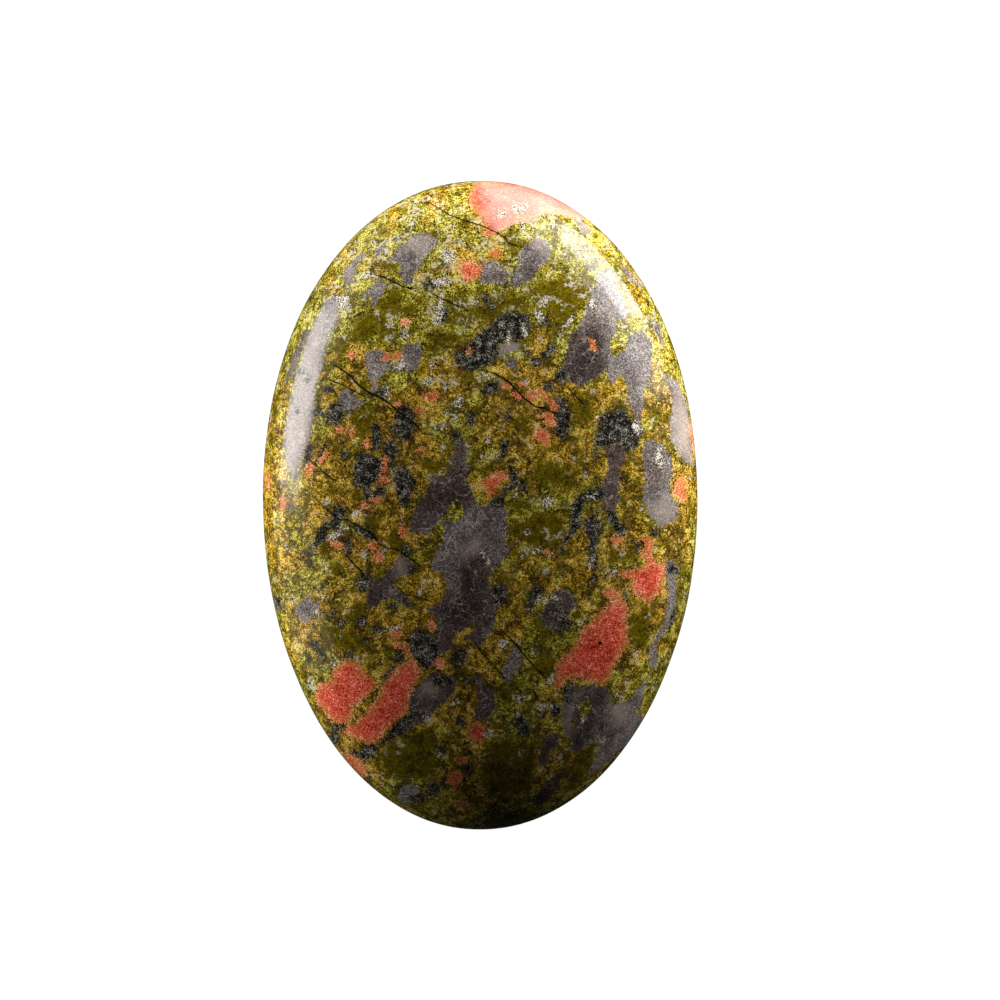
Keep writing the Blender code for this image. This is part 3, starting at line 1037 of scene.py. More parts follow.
    def blend(self, share: object, first: object, second: object) -> Socket:
        """Two numbers mixed, the second by this share.

        Args:
            share: From 0, the first, to 1, the second.
            first: A number.
            second: The other one.

        Returns:
            The mixed number.
        """
        node = self.add("ShaderNodeMix", data_type="FLOAT")
        self.wire(share, node.inputs[0])
        self.wire(first, node.inputs[2])
        self.wire(second, node.inputs[3])
        return node.outputs[0]

    def attribute(self, name: str) -> Socket:
        """A mesh attribute's value."""
        return self.add("ShaderNodeAttribute", attribute_name=name).outputs["Fac"]


@dataclass(frozen=True)
class UnakiteColors:
    """The colours of unakite's minerals; a ramp runs from a mineral's darkest tone to its lightest."""

    epidote_green: Ramp = (
        (0.00, (0.020, 0.012, 0.001)),
        (0.25, (0.076, 0.059, 0.002)),
        (0.50, (0.186, 0.154, 0.008)),
        (0.75, (0.385, 0.330, 0.028)),
        (1.00, (0.720, 0.650, 0.160)),
    )
    epidote_ochre: Ramp = (
        (0.00, (0.024, 0.010, 0.001)),
        (0.25, (0.105, 0.056, 0.002)),
        (0.50, (0.290, 0.160, 0.008)),
        (0.75, (0.510, 0.312, 0.024)),
        (1.00, (0.800, 0.560, 0.150)),
    )
    epidote_olive: Ramp = (
        (0.10, (0.024, 0.016, 0.001)),
        (0.45, (0.098, 0.069, 0.001)),
        (0.90, (0.290, 0.245, 0.012)),
    )
    quartz: Ramp = (
        (0.10, (0.038, 0.031, 0.029)),
        (0.50, (0.112, 0.096, 0.090)),
        (0.90, (0.340, 0.310, 0.280)),
    )
    smoke: Color = (0.45, 0.39, 0.38)
    rose: Color = (1.00, 0.78, 0.72)
    # Partly the colour of milky quartz, partly a painted highlight along the left rim.
    milk_and_painted_highlight: Color = (0.470, 0.375, 0.305)
    feldspar_orange: Ramp = (
        (0.05, (0.220, 0.050, 0.008)),
        (0.45, (0.540, 0.165, 0.045)),
        (0.75, (0.760, 0.340, 0.150)),
        (0.98, (0.900, 0.620, 0.420)),
    )
    feldspar_red: Ramp = (
        (0.05, (0.170, 0.012, 0.006)),
        (0.42, (0.600, 0.064, 0.032)),
        (0.70, (0.780, 0.160, 0.095)),
        (0.98, (0.900, 0.480, 0.360)),
    )
    feldspar_milk: Color = (0.800, 0.540, 0.450)
    dark: Ramp = (
        (0.22, (0.004, 0.003, 0.002)),
        (0.46, (0.018, 0.016, 0.012)),
        (0.68, (0.080, 0.076, 0.058)),
        (0.95, (0.330, 0.315, 0.250)),
    )
    pale_grains: Ramp = (
        (0.15, (0.040, 0.030, 0.022)),
        (0.40, (0.200, 0.165, 0.115)),
        (0.60, (0.420, 0.375, 0.280)),
        (0.85, (0.760, 0.710, 0.610)),
    )
    pale: Color = (0.600, 0.540, 0.420)
    speck: Color = (0.022, 0.015, 0.006)
    crack: Color = (0.004, 0.002, 0.001)


class UnakiteFinish:
    """Polished unakite: green epidote, red feldspar and smoky quartz, cracked and pitted here and there.

    Every pattern comes from nodes and from the mesh's distances to the photograph's bodies.
    """

    gloss_roughness = 0.07
    pit_roughness = 0.3
    refraction = 1.6
    bump_strength = 0.25
    bump_height = 0.02 * MM
    haze_depth = 0.06
    pore_size = 0.22
    poreless_share = 0.35
    core_level = 0.58
    core_slope = 5.0
    # How strongly painted light pales the top end: fewer dark gaps and more pale seams there.
    top_painted_light_share = 0.11
    least_open = 0.1
    loose_mm = 9.0

    def __init__(self) -> None:
        """Starts the material, with the patterns that its minerals share."""
        self.colors = UnakiteColors()
        self.material = bpy.data.materials.new("polished_unakite")
        self.material.use_nodes = True
        self.sheet = NodeSheet(self.material)
        sheet = self.sheet
        self.seen = sheet.attribute("seen")
        places = sheet.add("ShaderNodeSeparateXYZ")
        sheet.wire(sheet.millimetres, places.inputs[0])
        self.across, self.along, _ = places.outputs
        edge_waves = sheet.wobble(per_mm=1.0, seed=1, size=0.9, detail=4)
        edge_teeth = sheet.wobble(per_mm=3.2, seed=2, size=0.8, detail=3)
        self.ragged = sheet.total(edge_waves, edge_teeth)
        fine_grain = sheet.wobble(per_mm=9.0, seed=3, size=2.0, detail=0)
        coarse_grain = sheet.wobble(per_mm=4.0, seed=9, size=0.9, detail=1)
        self.grain = sheet.total(fine_grain, coarse_grain)
        clouds = sheet.wobble(per_mm=0.5, seed=19, size=2.0, detail=4)
        # Where quartz and feldspar are milky; along the left rim this is partly a painted highlight.
        self.milk_and_painted_highlight = sheet.step(sheet.total(self.field(Mineral.MILKY), clouds), low=-0.9, high=1.1)

    def build(self) -> bpy.types.Material:
        """Wires the finished colour, roughness and bump to the material's surface.

        Returns:
            The material.
        """
        surface = self.material.node_tree.nodes["Principled BSDF"]
        surface.inputs["IOR"].default_value = self.refraction
        pores = self.pores()
        color = self.cracked(self.minerals())
        color = self.sheet.laid(color, self.colors.crack, pores, strength=0.75)
        self.sheet.wire(color, surface.inputs["Base Color"])
        self.polish(surface, pores)
        return self.material

    def field(self, kind: Mineral) -> Socket:
        """A mineral's distance: from its bodies where the photograph shows them, and else from noise.

        Args:
            kind: The mineral.

        Returns:
            The distance in millimetres, positive inside a body.
        """
        scatter = SCATTER[kind]
        noise = self.sheet.noise(scatter.per_mm, scatter.seed, detail=3, roughness=0.55, distortion=0.6)
        loose = self.sheet.scaled(self.sheet.minus(noise, scatter.level), self.loose_mm)
        return self.sheet.blend(self.seen, loose, self.sheet.attribute(kind.value))

    def minerals(self) -> Socket:
        """The rock's colour, one mineral over another, with ragged edges.

        Returns:
            The colour, before cracks and pits.
        """
        sheet = self.sheet
        feldspar = self.field(Mineral.FELDSPAR)
        feldspar_edge = sheet.total(feldspar, self.ragged, sheet.scaled(self.grain, 0.25))
        is_feldspar = sheet.step(feldspar_edge, low=-0.10, high=0.12)
        quartz = sheet.total(self.field(Mineral.QUARTZ), self.ragged)
        is_quartz = sheet.step(quartz, low=-0.08, high=0.16)
        dark = self.field(Mineral.DARK)
        dark_teeth = sheet.wobble(per_mm=3.6, seed=4, size=0.9, detail=3)
        is_dark = sheet.step(sheet.total(dark, self.ragged, dark_teeth), low=-0.20, high=0.15)
        pale_teeth = sheet.wobble(per_mm=4.5, seed=16, size=1.6, detail=2)
        pale = sheet.total(self.field(Mineral.PALE), self.ragged, pale_teeth)
        is_pale = sheet.step(pale, low=0.0, high=0.25)
        halo_waves = sheet.wobble(per_mm=1.6, seed=40, size=1.4, detail=3)
        dark_halo = sheet.step(sheet.total(dark, halo_waves), low=-0.8, high=0.3)

        color = self.epidote(feldspar)
        color = sheet.laid(color, self.colors.speck, dark_halo, strength=0.55)
        color = sheet.mix(is_quartz, color, self.quartz(quartz))
        color = sheet.mix(is_dark, color, self.dark_grains())
        color = sheet.mix(is_feldspar, color, self.feldspar(feldspar_edge))
        return sheet.mix(is_pale, color, self.pale_grains())

    def epidote(self, feldspar: Socket) -> Socket:
        """Crystals of green and ochre epidote, with soft olive bodies, dark gaps and thin seams.

        Args:
            feldspar: The distance into feldspar, beside which epidote is ochre.

        Returns:
            The colour.
        """
        sheet = self.sheet
        warped = sheet.warped(per_mm=0.9, seed=62, size=1.8)
        bodies = sheet.cells(per_mm=0.55, seed=21, vector=warped)
        crystals = sheet.cells(per_mm=1.4, seed=64, vector=warped)
        facets = sheet.cells(per_mm=4.5, seed=65, vector=warped)
        body_light, body_tint, _ = sheet.tones(bodies)
        crystal_light, crystal_tint, _ = sheet.tones(crystals)
        facet_light, facet_tint, _ = sheet.tones(facets)
        light = sheet.weighted(
            (self.grain, 0.80),
            (body_light, 0.22),
            (crystal_light, 0.24),
            (facet_light, 0.42),
            (sheet.wobble(per_mm=1.5, seed=22, size=0.7, detail=4), 1.0),
            base=0.53,
        )
        tint = sheet.weighted(
            (self.field(Mineral.OCHRE), 0.6),
            (body_tint, 2.4),
            (crystal_tint, 1.4),
            (facet_tint, 0.8),
            (sheet.wobble(per_mm=0.55, seed=25, size=2.4, detail=3), 1.0),
            (sheet.step(feldspar, low=-1.8, high=0.0), 1.2),
            (sheet.step(self.along, low=6.0, high=20.0), -1.6),
            # Painted light: the long sides lean to yellow-green epidote, for the yellow look of their lit
            # rims.
            (sheet.step(sheet.math("ABSOLUTE", self.across), low=13.0, high=18.0), -0.8),
            base=1.15,
        )
        green = sheet.ramp(light, self.colors.epidote_green)
        ochre = sheet.ramp(light, self.colors.epidote_ochre)
        color = sheet.mix(sheet.step(tint, low=-1.0, high=0.9), green, ochre)
        # Painted light: the top end is paler, with fewer dark gaps and more pale seams.
        top_painted_light = sheet.scaled(sheet.step(self.along, low=12.0, high=26.0), self.top_painted_light_share)
        color = self.gaps(color, sheet.edges(bodies), top_painted_light)
        color = self.olive_bodies(color)
        return self.seams(color, sheet.edges(crystals), top_painted_light)

    def gaps(self, color: Socket, edges: Socket, top_painted_light: Socket) -> Socket:
        """Epidote with dark gaps between its large bodies, in patches, with fewer of them where painted light
        pales the top end.

        Args:
            color: The epidote's colour.
            edges: How far each place is from its body's edge.
            top_painted_light: Painted light that pales the stone's top end, closing the gaps there.

        Returns:
            The colour with its gaps.
        """
        sheet = self.sheet
        gap = sheet.total(edges, sheet.wobble(per_mm=3.0, seed=41, size=0.2, detail=3))
        patch = sheet.total(sheet.wobble(per_mm=0.5, seed=45, size=1.0, detail=3), top_painted_light)
        is_gap = sheet.step(gap, low=0.11, high=0.02)
        in_patch = sheet.step(patch, low=0.05, high=-0.05)
        return sheet.laid(color, self.colors.speck, is_gap, in_patch, strength=0.75)

    def olive_bodies(self, color: Socket) -> Socket:
        """Epidote with soft, even olive bodies over it, and small olive cores between them.

        Args:
            color: The epidote's colour.

        Returns:
            The colour with its olive bodies.
        """
        sheet = self.sheet
        core_noise = sheet.noise(per_mm=0.75, seed=28, detail=3, roughness=0.5)
        cores = sheet.scaled(sheet.minus(core_noise, self.core_level), self.core_slope)
        either = sheet.math("MAXIMUM", self.field(Mineral.OLIVE), cores)
        body = sheet.total(either, sheet.wobble(per_mm=1.2, seed=5, size=1.8, detail=4))
        waves = sheet.wobble(per_mm=1.5, seed=29, size=0.7, detail=4)
        light = sheet.weighted((self.grain, 0.4), (waves, 1.0), base=0.42)
        olive = sheet.ramp(light, self.colors.epidote_olive)
        return sheet.mix(sheet.step(body, low=-0.30, high=0.55), color, olive)

    def seams(self, color: Socket, edges: Socket, top_painted_light: Socket) -> Socket:
        """Epidote with thin seams between its crystals: pale ones here, and dark ones there, and more pale
        ones where painted light pales the top end.

        Args:
            color: The epidote's colour.
            edges: How far each place is from its crystal's edge.
            top_painted_light: Painted light that pales the stone's top end, turning dark seams pale there.

        Returns:
            The colour with its seams.
        """
        sheet = self.sheet
        seam = sheet.total(edges, sheet.wobble(per_mm=3.5, seed=38, size=0.5, detail=2))
        patch = sheet.total(sheet.wobble(per_mm=0.7, seed=39, size=1.0, detail=3), top_painted_light)
        thin = sheet.step(seam, low=0.10, high=0.0)
        wide = sheet.step(seam, low=0.15, high=0.0)
        is_pale = sheet.step(patch, low=0.08, high=0.16)
        is_dark = sheet.step(patch, low=-0.01, high=-0.10)
        color = sheet.laid(color, self.colors.pale, thin, is_pale, strength=0.6)
        return sheet.laid(color, self.colors.speck, wide, is_dark, strength=0.8)

    def quartz(self, edge: Socket) -> Socket:
        """Smooth quartz, smoky in places and milky in others, with fine white specks; along the left rim the
        milky layer is partly a painted highlight.

        Args:
            edge: The distance into the quartz, whose middle is clear and dark.

        Returns:
            The colour.
        """
        sheet = self.sheet
        light = sheet.weighted(
            (sheet.wobble(per_mm=0.45, seed=31, size=0.85, detail=3), 1.0),
            (sheet.step(edge, low=0.2, high=2.2), -0.20),
            (self.grain, 0.7),
            base=0.53,
        )
        color = sheet.ramp(light, self.colors.quartz)
        warm = sheet.step(sheet.wobble(per_mm=0.3, seed=36, size=1.0), low=-0.15, high=0.15)
        color = sheet.mix(warm, color, sheet.mix(0.5, color, self.colors.rose, "MULTIPLY"))
        smoky = sheet.total(self.field(Mineral.SMOKY), sheet.wobble(per_mm=0.7, seed=32, size=1.0))
        color = sheet.mix(sheet.step(smoky, low=-0.7, high=0.4), color, self.colors.smoke, "MULTIPLY")
        # Milky quartz; along the left rim partly a painted highlight.
        color = sheet.laid(color, self.colors.milk_and_painted_highlight, self.milk_and_painted_highlight, strength=0.42)
        web_noise = sheet.noise(per_mm=0.35, seed=33, detail=4, roughness=0.6)
        web = sheet.step(sheet.math("ABSOLUTE", sheet.minus(web_noise, 0.5)), low=0.010, high=0.0)
        color = sheet.laid(color, self.colors.pale, web, strength=0.35)
        specks = sheet.step(sheet.noise(per_mm=6.0, seed=35, detail=1), low=0.70, high=0.80)
        return sheet.laid(color, self.colors.pale, specks, strength=0.45)

    def feldspar(self, edge: Socket) -> Socket:
        """Brick red feldspar, finely speckled.

        Args:
            edge: The distance into the feldspar, which is orange close to its edge.

        Returns:
            The colour.
        """
        sheet = self.sheet
        light = sheet.weighted(
            (self.grain, 0.7),
            (sheet.wobble(per_mm=0.6, seed=42, size=0.7, detail=3), 1.0),
            (sheet.wobble(per_mm=2.5, seed=44, size=0.7, detail=3), 1.0),
            base=0.43,
        )
        orange = sheet.ramp(light, self.colors.feldspar_orange)
        red = sheet.ramp(light, self.colors.feldspar_red)
        color = sheet.mix(sheet.step(edge, low=0.0, high=0.9), orange, red)
        color = sheet.laid(color, self.colors.feldspar_milk, self.milk_and_painted_highlight, strength=0.35)
        specks = sheet.step(sheet.noise(per_mm=3.6, seed=43, detail=3, roughness=0.7), low=0.36, high=0.30)
        return sheet.laid(color, self.colors.crack, specks, strength=0.5)

    def dark_grains(self) -> Socket:
        """Near-black grains with grey ones among them.

        Returns:
            Their colour.
        """
        waves = self.sheet.wobble(per_mm=1.6, seed=53, size=1.5, detail=4)
        light = self.sheet.weighted((self.grain, 0.7), (waves, 1.0), base=0.49)
        return self.sheet.ramp(light, self.colors.dark)

    def pale_grains(self) -> Socket:
        """Whitish grains with dark specks among them.

        Returns:
            Their colour.
        """
        waves = self.sheet.wobble(per_mm=2.5, seed=52, size=1.0, detail=2)
        light = self.sheet.weighted((self.grain, 1.0), (waves, 1.0), base=0.55)
        return self.sheet.ramp(light, self.colors.pale_grains)

    def cracked(self, color: Socket) -> Socket:
        """The rock's colour with its cracks, their faint dark halo, and the large pits.

        Args:
            color: The rock's colour.

        Returns:
            The colour with its cracks and pits.
        """
        sheet = self.sheet
        wave = sheet.wobble(per_mm=2.0, seed=6, size=0.16, detail=3)
        line = sheet.math("ABSOLUTE", sheet.total(sheet.attribute("crack_side"), wave))
        open_share = sheet.total(sheet.noise(per_mm=1.2, seed=7), self.least_open)
        inside = sheet.minus(sheet.scaled(sheet.attribute("crack_width"), open_share), line)
        halo = sheet.step(inside, low=-0.16, high=0.0)
        is_crack = sheet.step(inside, low=-0.03, high=0.0)
        is_pit = sheet.step(sheet.attribute("pit"), low=-0.03, high=0.05)
        color = sheet.laid(color, self.colors.crack, halo, strength=0.25)
        return sheet.mix(sheet.math("MAXIMUM", is_crack, is_pit), color, self.colors.crack)

    def pores(self) -> Socket:
        """Tiny pits scattered over the polish: 1 in a pit, and 0 elsewhere.

        Returns:
            The share of pit at each place.
        """
        sheet = self.sheet
        cells = sheet.cells(per_mm=1.6, seed=61)
        lot = sheet.add("ShaderNodeSeparateColor")
        sheet.wire(cells.outputs["Color"], lot.inputs[0])
        radius = sheet.scaled(sheet.minus(lot.outputs[0], self.poreless_share), self.pore_size)
        return sheet.step(sheet.minus(radius, cells.outputs["Distance"]), low=-0.01, high=0.03)

    def polish(self, surface: bpy.types.Node, pores: Socket) -> None:
        """Sets the gloss, a little hazy in places and dull in the tiny pits, and its bump.

        Args:
            surface: The material's own shader.
            pores: The tiny pits, from 0 to 1.
        """
        sheet = self.sheet
        haze = sheet.scaled(sheet.noise(per_mm=3.0, seed=8, detail=3), self.haze_depth)
        gloss = sheet.total(haze, self.gloss_roughness)
        sheet.wire(sheet.blend(pores, gloss, self.pit_roughness), surface.inputs["Roughness"])
        bump = sheet.add("ShaderNodeBump")
        bump.inputs["Strength"].default_value = self.bump_strength
        bump.inputs["Distance"].default_value = self.bump_height
        sheet.wire(sheet.weighted((haze, 0.4), (pores, -1.0)), bump.inputs["Height"])
        sheet.wire(bump.outputs["Normal"], surface.inputs["Normal"])


def clear_selection() -> None:
    """Leaves nothing selected, so that an operator acts on the new piece alone."""
    bpy.ops.object.select_all(action="DESELECT")


def directions_of(items: bpy.types.bpy_prop_collection, name: str) -> np.ndarray:
    """The places of a mesh's vertices or faces, as unit vectors.

    Args:
        items: The vertices or the faces.
        name: The name of their place.

    Returns:
        Unit vectors, one a row.
    """
    points = np.zeros(len(items) * 3, np.float32)
    items.foreach_get(name, points)
    points = points.reshape(-1, 3).astype(float)
    return points / np.linalg.norm(points, axis=1)[:, None]


@dataclass
class PalmStone:
    """The stone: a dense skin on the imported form, with its grooves, pits and markings."""

    form: StoneForm
    photo: PhotoView
    start_subdivisions: int = 7
    crown_from: float = 0.25
    groove_margin_mm: float = 0.3
    groove_end_mm: float = -0.02
    pit_margin_mm: float = 0.25
    groove_edge_mm: float = 0.1
    pit_edge_mm: float = 0.05
    pit_wall_mm: float = 0.2
    groove_depth: float = 0.012 * MM
    wave_size: float = 0.10 * MM
    wave_length: float = 7.0 * MM
    waves_from: float = 1.5 * MM
    fade_below: float = 0.12
    far_mm: float = 9.0
    crack_fade_mm: float = -0.19
    no_pit_mm: float = -1.0
    uv_margin: float = 1.5 * MM
    uv_crown: tuple[float, float] = (0.25, 0.5)
    uv_belly: tuple[float, float] = (0.75, 0.5)

    def build(self) -> bpy.types.Object:
        """Makes the stone, dresses it and ties it to the frame.

        Returns:
            The finished piece.
        """
        stone = self.skin()
        directions = directions_of(stone.data.vertices, "co")
        self.unwrap(stone, directions)
        points = self.form.surface(directions)
        stone.data.vertices.foreach_set("co", points.astype(np.float32).ravel())
        self.mark(stone, directions, points)
        self.carve(stone)
        for polygon in stone.data.polygons:
            polygon.use_smooth = True
        stone.data.materials.append(UnakiteFinish().build())
        stone.data.update()
        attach(stone, "root")
        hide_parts(NODE)
        return stone

    def skin(self) -> bpy.types.Object:
        """A unit sphere of triangles: finer over the crown, and finest at the grooves.

        Returns:
            The sphere, named for the stone.
        """
        clear_selection()
        bpy.ops.mesh.primitive_ico_sphere_add(subdivisions=self.start_subdivisions, radius=1.0)
        stone = bpy.context.object
        stone.name = "stone"
        stone.data.name = "stone"
        self.refine(stone, directions_of(stone.data.polygons, "center")[:, 2] > self.crown_from)
        self.refine(stone, self.near_grooves(stone))
        bpy.ops.object.mode_set(mode="EDIT")
        bpy.ops.mesh.select_all(action="SELECT")
        bpy.ops.mesh.quads_convert_to_tris()
        bpy.ops.object.mode_set(mode="OBJECT")
        return stone

    def refine(self, stone: bpy.types.Object, chosen: np.ndarray) -> None:
        """Cuts each chosen face into four, in edit mode.

        Args:
            stone: The skin.
            chosen: True for each face to cut.
        """
        bpy.ops.object.mode_set(mode="EDIT")
        bpy.ops.mesh.select_mode(type="FACE")
        bpy.ops.mesh.select_all(action="DESELECT")
        bpy.ops.object.mode_set(mode="OBJECT")
        stone.data.polygons.foreach_set("select", chosen)
        bpy.ops.object.mode_set(mode="EDIT")
        bpy.ops.mesh.subdivide(number_cuts=1)
        bpy.ops.object.mode_set(mode="OBJECT")

    def near_grooves(self, stone: bpy.types.Object) -> np.ndarray:
        """Which faces of the crown lie close to a crack or a pit.

        Args:
            stone: The skin.

        Returns:
            True for each such face.
        """
        directions = directions_of(stone.data.polygons, "center")
        field = DistanceField(self.form, self.photo, self.form.surface(directions))
        near = np.zeros(len(directions), bool)
        for crack in CRACKS.values():
            chosen, side, half = field.crack(crack)
            near[chosen] |= (np.abs(side) < self.groove_margin_mm) & (half > self.groove_end_mm)
        for pit in PITS.values():
            near |= field.pit(pit) > -self.pit_margin_mm
        return near & (directions[:, 2] > self.crown_from)

    def unwrap(self, stone: bpy.types.Object, directions: np.ndarray) -> None:
        """Lays the crown and the underside flat, side by side, in the UV map.

        Args:
            stone: The stone's skin.
            directions: Its vertices, as unit vectors.
        """
        crown = self.form.unrolled(directions, True)
        belly = self.form.unrolled(directions, False)
        half = max(np.abs(crown[directions[:, 2] > 0, 0]).max(), self.form.half_width) + self.uv_margin
        corners = np.zeros(len(stone.data.loops), np.int32)
        stone.data.loops.foreach_get("vertex_index", corners)
        totals = np.zeros(len(stone.data.polygons), np.int32)
        stone.data.polygons.foreach_get("loop_total", totals)
        up = np.repeat(directions_of(stone.data.polygons, "center")[:, 2] > 0, totals)[:, None]
        flat = np.where(up, crown[corners], belly[corners] * np.array([-1.0, 1.0])) / (4 * half)
        flat += np.where(up, self.uv_crown, self.uv_belly)
        layer = stone.data.uv_layers.new(name="OFBake")
        layer.data.foreach_set("uv", flat.astype(np.float32).ravel())

    def mark(self, stone: bpy.types.Object, directions: np.ndarray, points: np.ndarray) -> None:
        """Stores each mineral's distance, the cracks and the pits on the skin.

        Args:
            stone: The stone's skin.
            directions: Its vertices, as unit vectors.
            points: The same vertices on the stone, in metres.
        """
        field = DistanceField(self.form, self.photo, points)
        below = np.clip(-directions[:, 2] / self.fade_below, 0, 1)
        self.store(stone, "seen", 1 - below * below * (3 - 2 * below))
        distances = {kind: field.union(kind) for kind in SCATTER}
        islands = field.union(Mineral.EPIDOTE)
        distances[Mineral.QUARTZ] = np.minimum(distances[Mineral.QUARTZ], -islands)
        for kind, distance in distances.items():
            self.store(stone, kind.value, distance)
        side = np.full(len(points), self.far_mm)
        half = np.full(len(points), field.off_crack_mm)
        for crack in CRACKS.values():
            chosen, crack_side, crack_half = field.crack(crack)
            closer = crack_half - np.abs(crack_side) > half[chosen] - np.abs(side[chosen])
            closer &= crack_half > self.crack_fade_mm
            side[chosen[closer]] = crack_side[closer]
            half[chosen[closer]] = crack_half[closer]
        pit = np.max([field.pit(each) for each in PITS.values()], axis=0)
        underside = directions[:, 2] < 0
        self.store(stone, "crack_side", np.where(underside, self.far_mm, side))
        self.store(stone, "crack_width", half)
        self.store(stone, "pit", np.where(underside, self.no_pit_mm, np.maximum(pit, self.no_pit_mm)))

    def store(self, stone: bpy.types.Object, name: str, values: np.ndarray) -> None:
        """Keeps one number for each vertex."""
        layer = stone.data.attributes.new(name, "FLOAT", "POINT")
        layer.data.foreach_set("value", values.astype(np.float32))

    def stored(self, stone: bpy.types.Object, name: str) -> np.ndarray:
        """The numbers that were kept under this name.

        Args:
            stone: The stone.
            name: The numbers' name.

        Returns:
            One number for each vertex.
        """
        values = np.zeros(len(stone.data.vertices), np.float32)
        stone.data.attributes[name].data.foreach_get("value", values)
        return values

    def carve(self, stone: bpy.types.Object) -> None:
        """Pushes the grooves and pits in, and gives the polish its slow waves.

        Args:
            stone: The stone, with its distances stored.
        """
        groove = self.stored(stone, "crack_width") - np.abs(self.stored(stone, "crack_side"))
        pit = self.stored(stone, "pit") + self.pit_edge_mm
        depth = np.clip(np.maximum(groove / self.groove_edge_mm, pit / self.pit_wall_mm), 0, 1)
        grooves = stone.vertex_groups.new(name="grooves")
        for index in np.nonzero(depth > 0)[0]:
            grooves.add([int(index)], float(depth[index]), "REPLACE")
        waves = stone.vertex_groups.new(name="waves")
        raised = [vertex.index for vertex in stone.data.vertices if vertex.co.z > self.waves_from]
        waves.add(raised, 1.0, "REPLACE")
        clouds = bpy.data.textures.new("slow_waves", "CLOUDS")
        clouds.noise_scale = self.wave_length
        clouds.noise_depth = 0
        self.displace(stone, "waves", self.wave_size, middle=0.5, texture=clouds)
        self.displace(stone, "grooves", -self.groove_depth, middle=0.0)
        stone.vertex_groups.clear()

    def displace(
        self,
        stone: bpy.types.Object,
        group: str,
        strength: float,
        middle: float,
        texture: bpy.types.Texture | None = None,
    ) -> None:
        """Adds a Displace modifier along the normals and applies it.

        Args:
            stone: The stone.
            group: The vertices that move, by the name of their group.
            strength: How far a vertex moves, in metres.
            middle: The texture's value that leaves a vertex where it is.
            texture: The texture, if there is one.
        """
        modifier = stone.modifiers.new(group, "DISPLACE")
        modifier.vertex_group = group
        modifier.strength = strength
        modifier.mid_level = middle
        if texture:
            modifier.texture = texture
            modifier.texture_coords = "LOCAL"
        bpy.ops.object.modifier_apply(modifier=group)


class Reach(Enum):
    """What a light is for."""

    GLOSS = "gloss"
    SHADE = "shade"


@dataclass(frozen=True)
class SoftBox:
    """A glowing upright panel beside the stone, facing it, between two turns and two heights in degrees."""

    name: str
    reach: Reach
    turns: tuple[float, float]
    heights: tuple[float, float]
    radiance: float
    distance: float = 0.5

    def build(self, middle: Vector) -> bpy.types.Object:
        """Makes the panel.

        Args:
            middle: The point that it faces, and that its angles are measured from.

        Returns:
            The light, which the camera doesn't see.
        """
        turn = math.radians(sum(self.turns) / 2)
        half = math.radians((self.turns[1] - self.turns[0]) / 2)
        low, high = [self.distance * math.tan(math.radians(angle)) for angle in self.heights]
        width = 2 * self.distance * math.tan(half)
        light = bpy.data.lights.new(self.name, "AREA")
        light.shape = "RECTANGLE"
        light.size = width
        light.size_y = high - low
        light.energy = self.radiance * width * (high - low) * math.pi
        panel = bpy.data.objects.new(self.name, light)
        bpy.context.scene.collection.objects.link(panel)
        outward = Vector((math.cos(turn), math.sin(turn), 0))
        panel.location = middle + outward * self.distance + Vector((0, 0, (low + high) / 2))
        panel.rotation_euler = (-outward).to_track_quat("-Z", "Y").to_euler()
        panel.visible_camera = False
        panel.visible_diffuse = self.reach is Reach.SHADE
        panel.visible_glossy = self.reach is Reach.GLOSS
        return panel


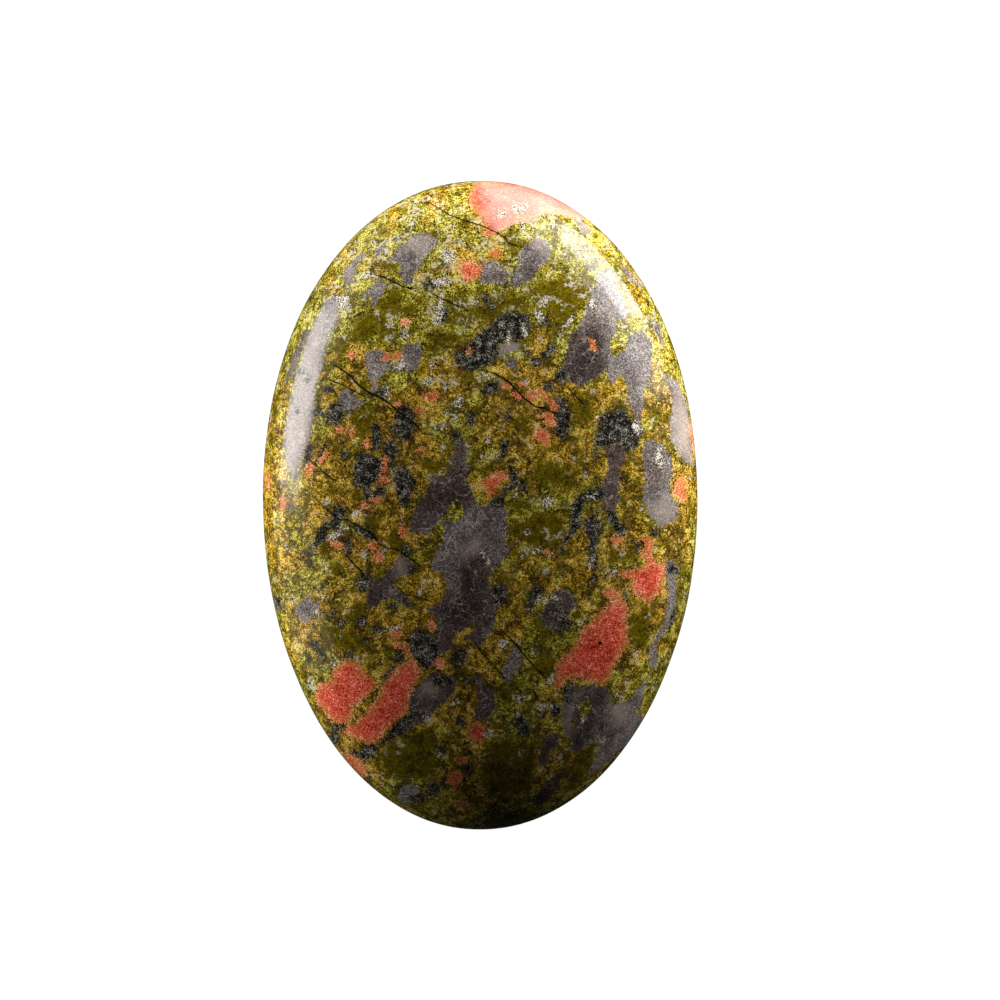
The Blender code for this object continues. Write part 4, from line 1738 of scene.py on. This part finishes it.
@dataclass(frozen=True)
class Studio:
    """The pale floor, the soft side lights and the camera."""

    photo: PhotoView
    floor_size: float = 8.0
    floor_glow: float = 0.97
    floor_color: Color = (0.12, 0.12, 0.12)
    room_glow: float = 0.01
    backdrop_glow: float = 0.9
    near_clip: float = 0.01
    boxes: tuple[SoftBox, ...] = (
        SoftBox("left_gloss", Reach.GLOSS, (147.0, 178.0), (0.0, 34.0), 2.6),
        SoftBox("left_gloss_middle", Reach.GLOSS, (150.0, 182.0), (3.0, 31.0), 1.7),
        SoftBox("left_gloss_haze", Reach.GLOSS, (125.0, 205.0), (-20.0, 45.0), 0.4),
        SoftBox("right_gloss", Reach.GLOSS, (30.0, 58.0), (2.0, 30.0), 6.2),
        SoftBox("right_gloss_edge", Reach.GLOSS, (14.0, 68.0), (0.0, 42.0), 2.4),
        SoftBox("top_shade", Reach.SHADE, (60.0, 125.0), (5.0, 45.0), 3.9, 0.08),
        SoftBox("top_near_shade", Reach.SHADE, (60.0, 120.0), (-5.0, 20.0), 4.0, 0.05),
        SoftBox("top_right_shade", Reach.SHADE, (15.0, 60.0), (5.0, 45.0), 1.7, 0.08),
        SoftBox("right_shade", Reach.SHADE, (-5.0, 40.0), (-5.0, 14.0), 10.0, 0.10),
        SoftBox("right_near_shade", Reach.SHADE, (10.0, 50.0), (-5.0, 15.0), 13.0, 0.055),
        SoftBox("left_shade", Reach.SHADE, (150.0, 207.0), (-5.0, 14.0), 10.8, 0.10),
        SoftBox("left_near_shade", Reach.SHADE, (160.0, 200.0), (-5.0, 15.0), 6.4, 0.045),
    )

    def build(self, form: StoneForm) -> None:
        """Makes everything that isn't the stone.

        Args:
            form: The stone's form, whose widest ring the lights and the camera are set to.
        """
        self.floor()
        self.world()
        for box in self.boxes:
            box.build(Vector((0, 0, form.girdle)))
            log.info("light %s", box.name)
        self.camera(form)
        bpy.context.scene.view_settings.view_transform = "Standard"

    def floor(self) -> None:
        """A plain pale floor that glows, so that no shadow shows on it."""
        clear_selection()
        bpy.ops.mesh.primitive_plane_add(size=self.floor_size, location=(0, 0, 0))
        floor = bpy.context.object
        floor.name = "floor"
        material = bpy.data.materials.new("pale_floor")
        material.use_nodes = True
        surface = material.node_tree.nodes["Principled BSDF"]
        surface.inputs["Base Color"].default_value = (*self.floor_color, 1.0)
        surface.inputs["Roughness"].default_value = 1.0
        surface.inputs["Specular IOR Level"].default_value = 0.0
        surface.inputs["Emission Color"].default_value = WHITE
        surface.inputs["Emission Strength"].default_value = self.floor_glow
        floor.data.materials.append(material)
        floor.visible_glossy = False
        floor.visible_diffuse = False

    def world(self) -> None:
        """A dim room that is pale where the camera looks into it."""
        world = bpy.data.worlds.new("room")
        bpy.context.scene.world = world
        world.use_nodes = True
        tree = world.node_tree
        background = tree.nodes["Background"]
        background.inputs["Color"].default_value = WHITE
        path = tree.nodes.new("ShaderNodeLightPath")
        glow = tree.nodes.new("ShaderNodeMix")
        glow.data_type = "FLOAT"
        glow.inputs[2].default_value = self.room_glow
        glow.inputs[3].default_value = self.backdrop_glow
        tree.links.new(path.outputs["Is Camera Ray"], glow.inputs[0])
        tree.links.new(glow.outputs[0], background.inputs["Strength"])

    def camera(self, form: StoneForm) -> None:
        """The photograph's view: straight down, with +Y up the frame.

        Args:
            form: The stone's form, whose widest ring the scale holds at.
        """
        data = bpy.data.cameras.new("camera")
        data.lens = self.photo.lens_mm
        data.sensor_width = self.photo.sensor_mm
        data.clip_start = self.near_clip
        camera = bpy.data.objects.new("camera", data)
        camera.location = self.photo.place(form.girdle)
        bpy.context.scene.collection.objects.link(camera)
        bpy.context.scene.camera = camera


def main() -> None:
    """Builds the stone and the studio, in order."""
    logging.basicConfig(level=logging.INFO)
    low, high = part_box(NODE)
    form = StoneForm(half_width=(high.x - low.x) / 2, half_length=(high.y - low.y) / 2, top=high.z)
    photo = PhotoView()
    stone = PalmStone(form, photo).build()
    log.info("stone: %d faces", len(stone.data.polygons))
    Studio(photo).build(form)


if __name__ == "__main__":
    main()
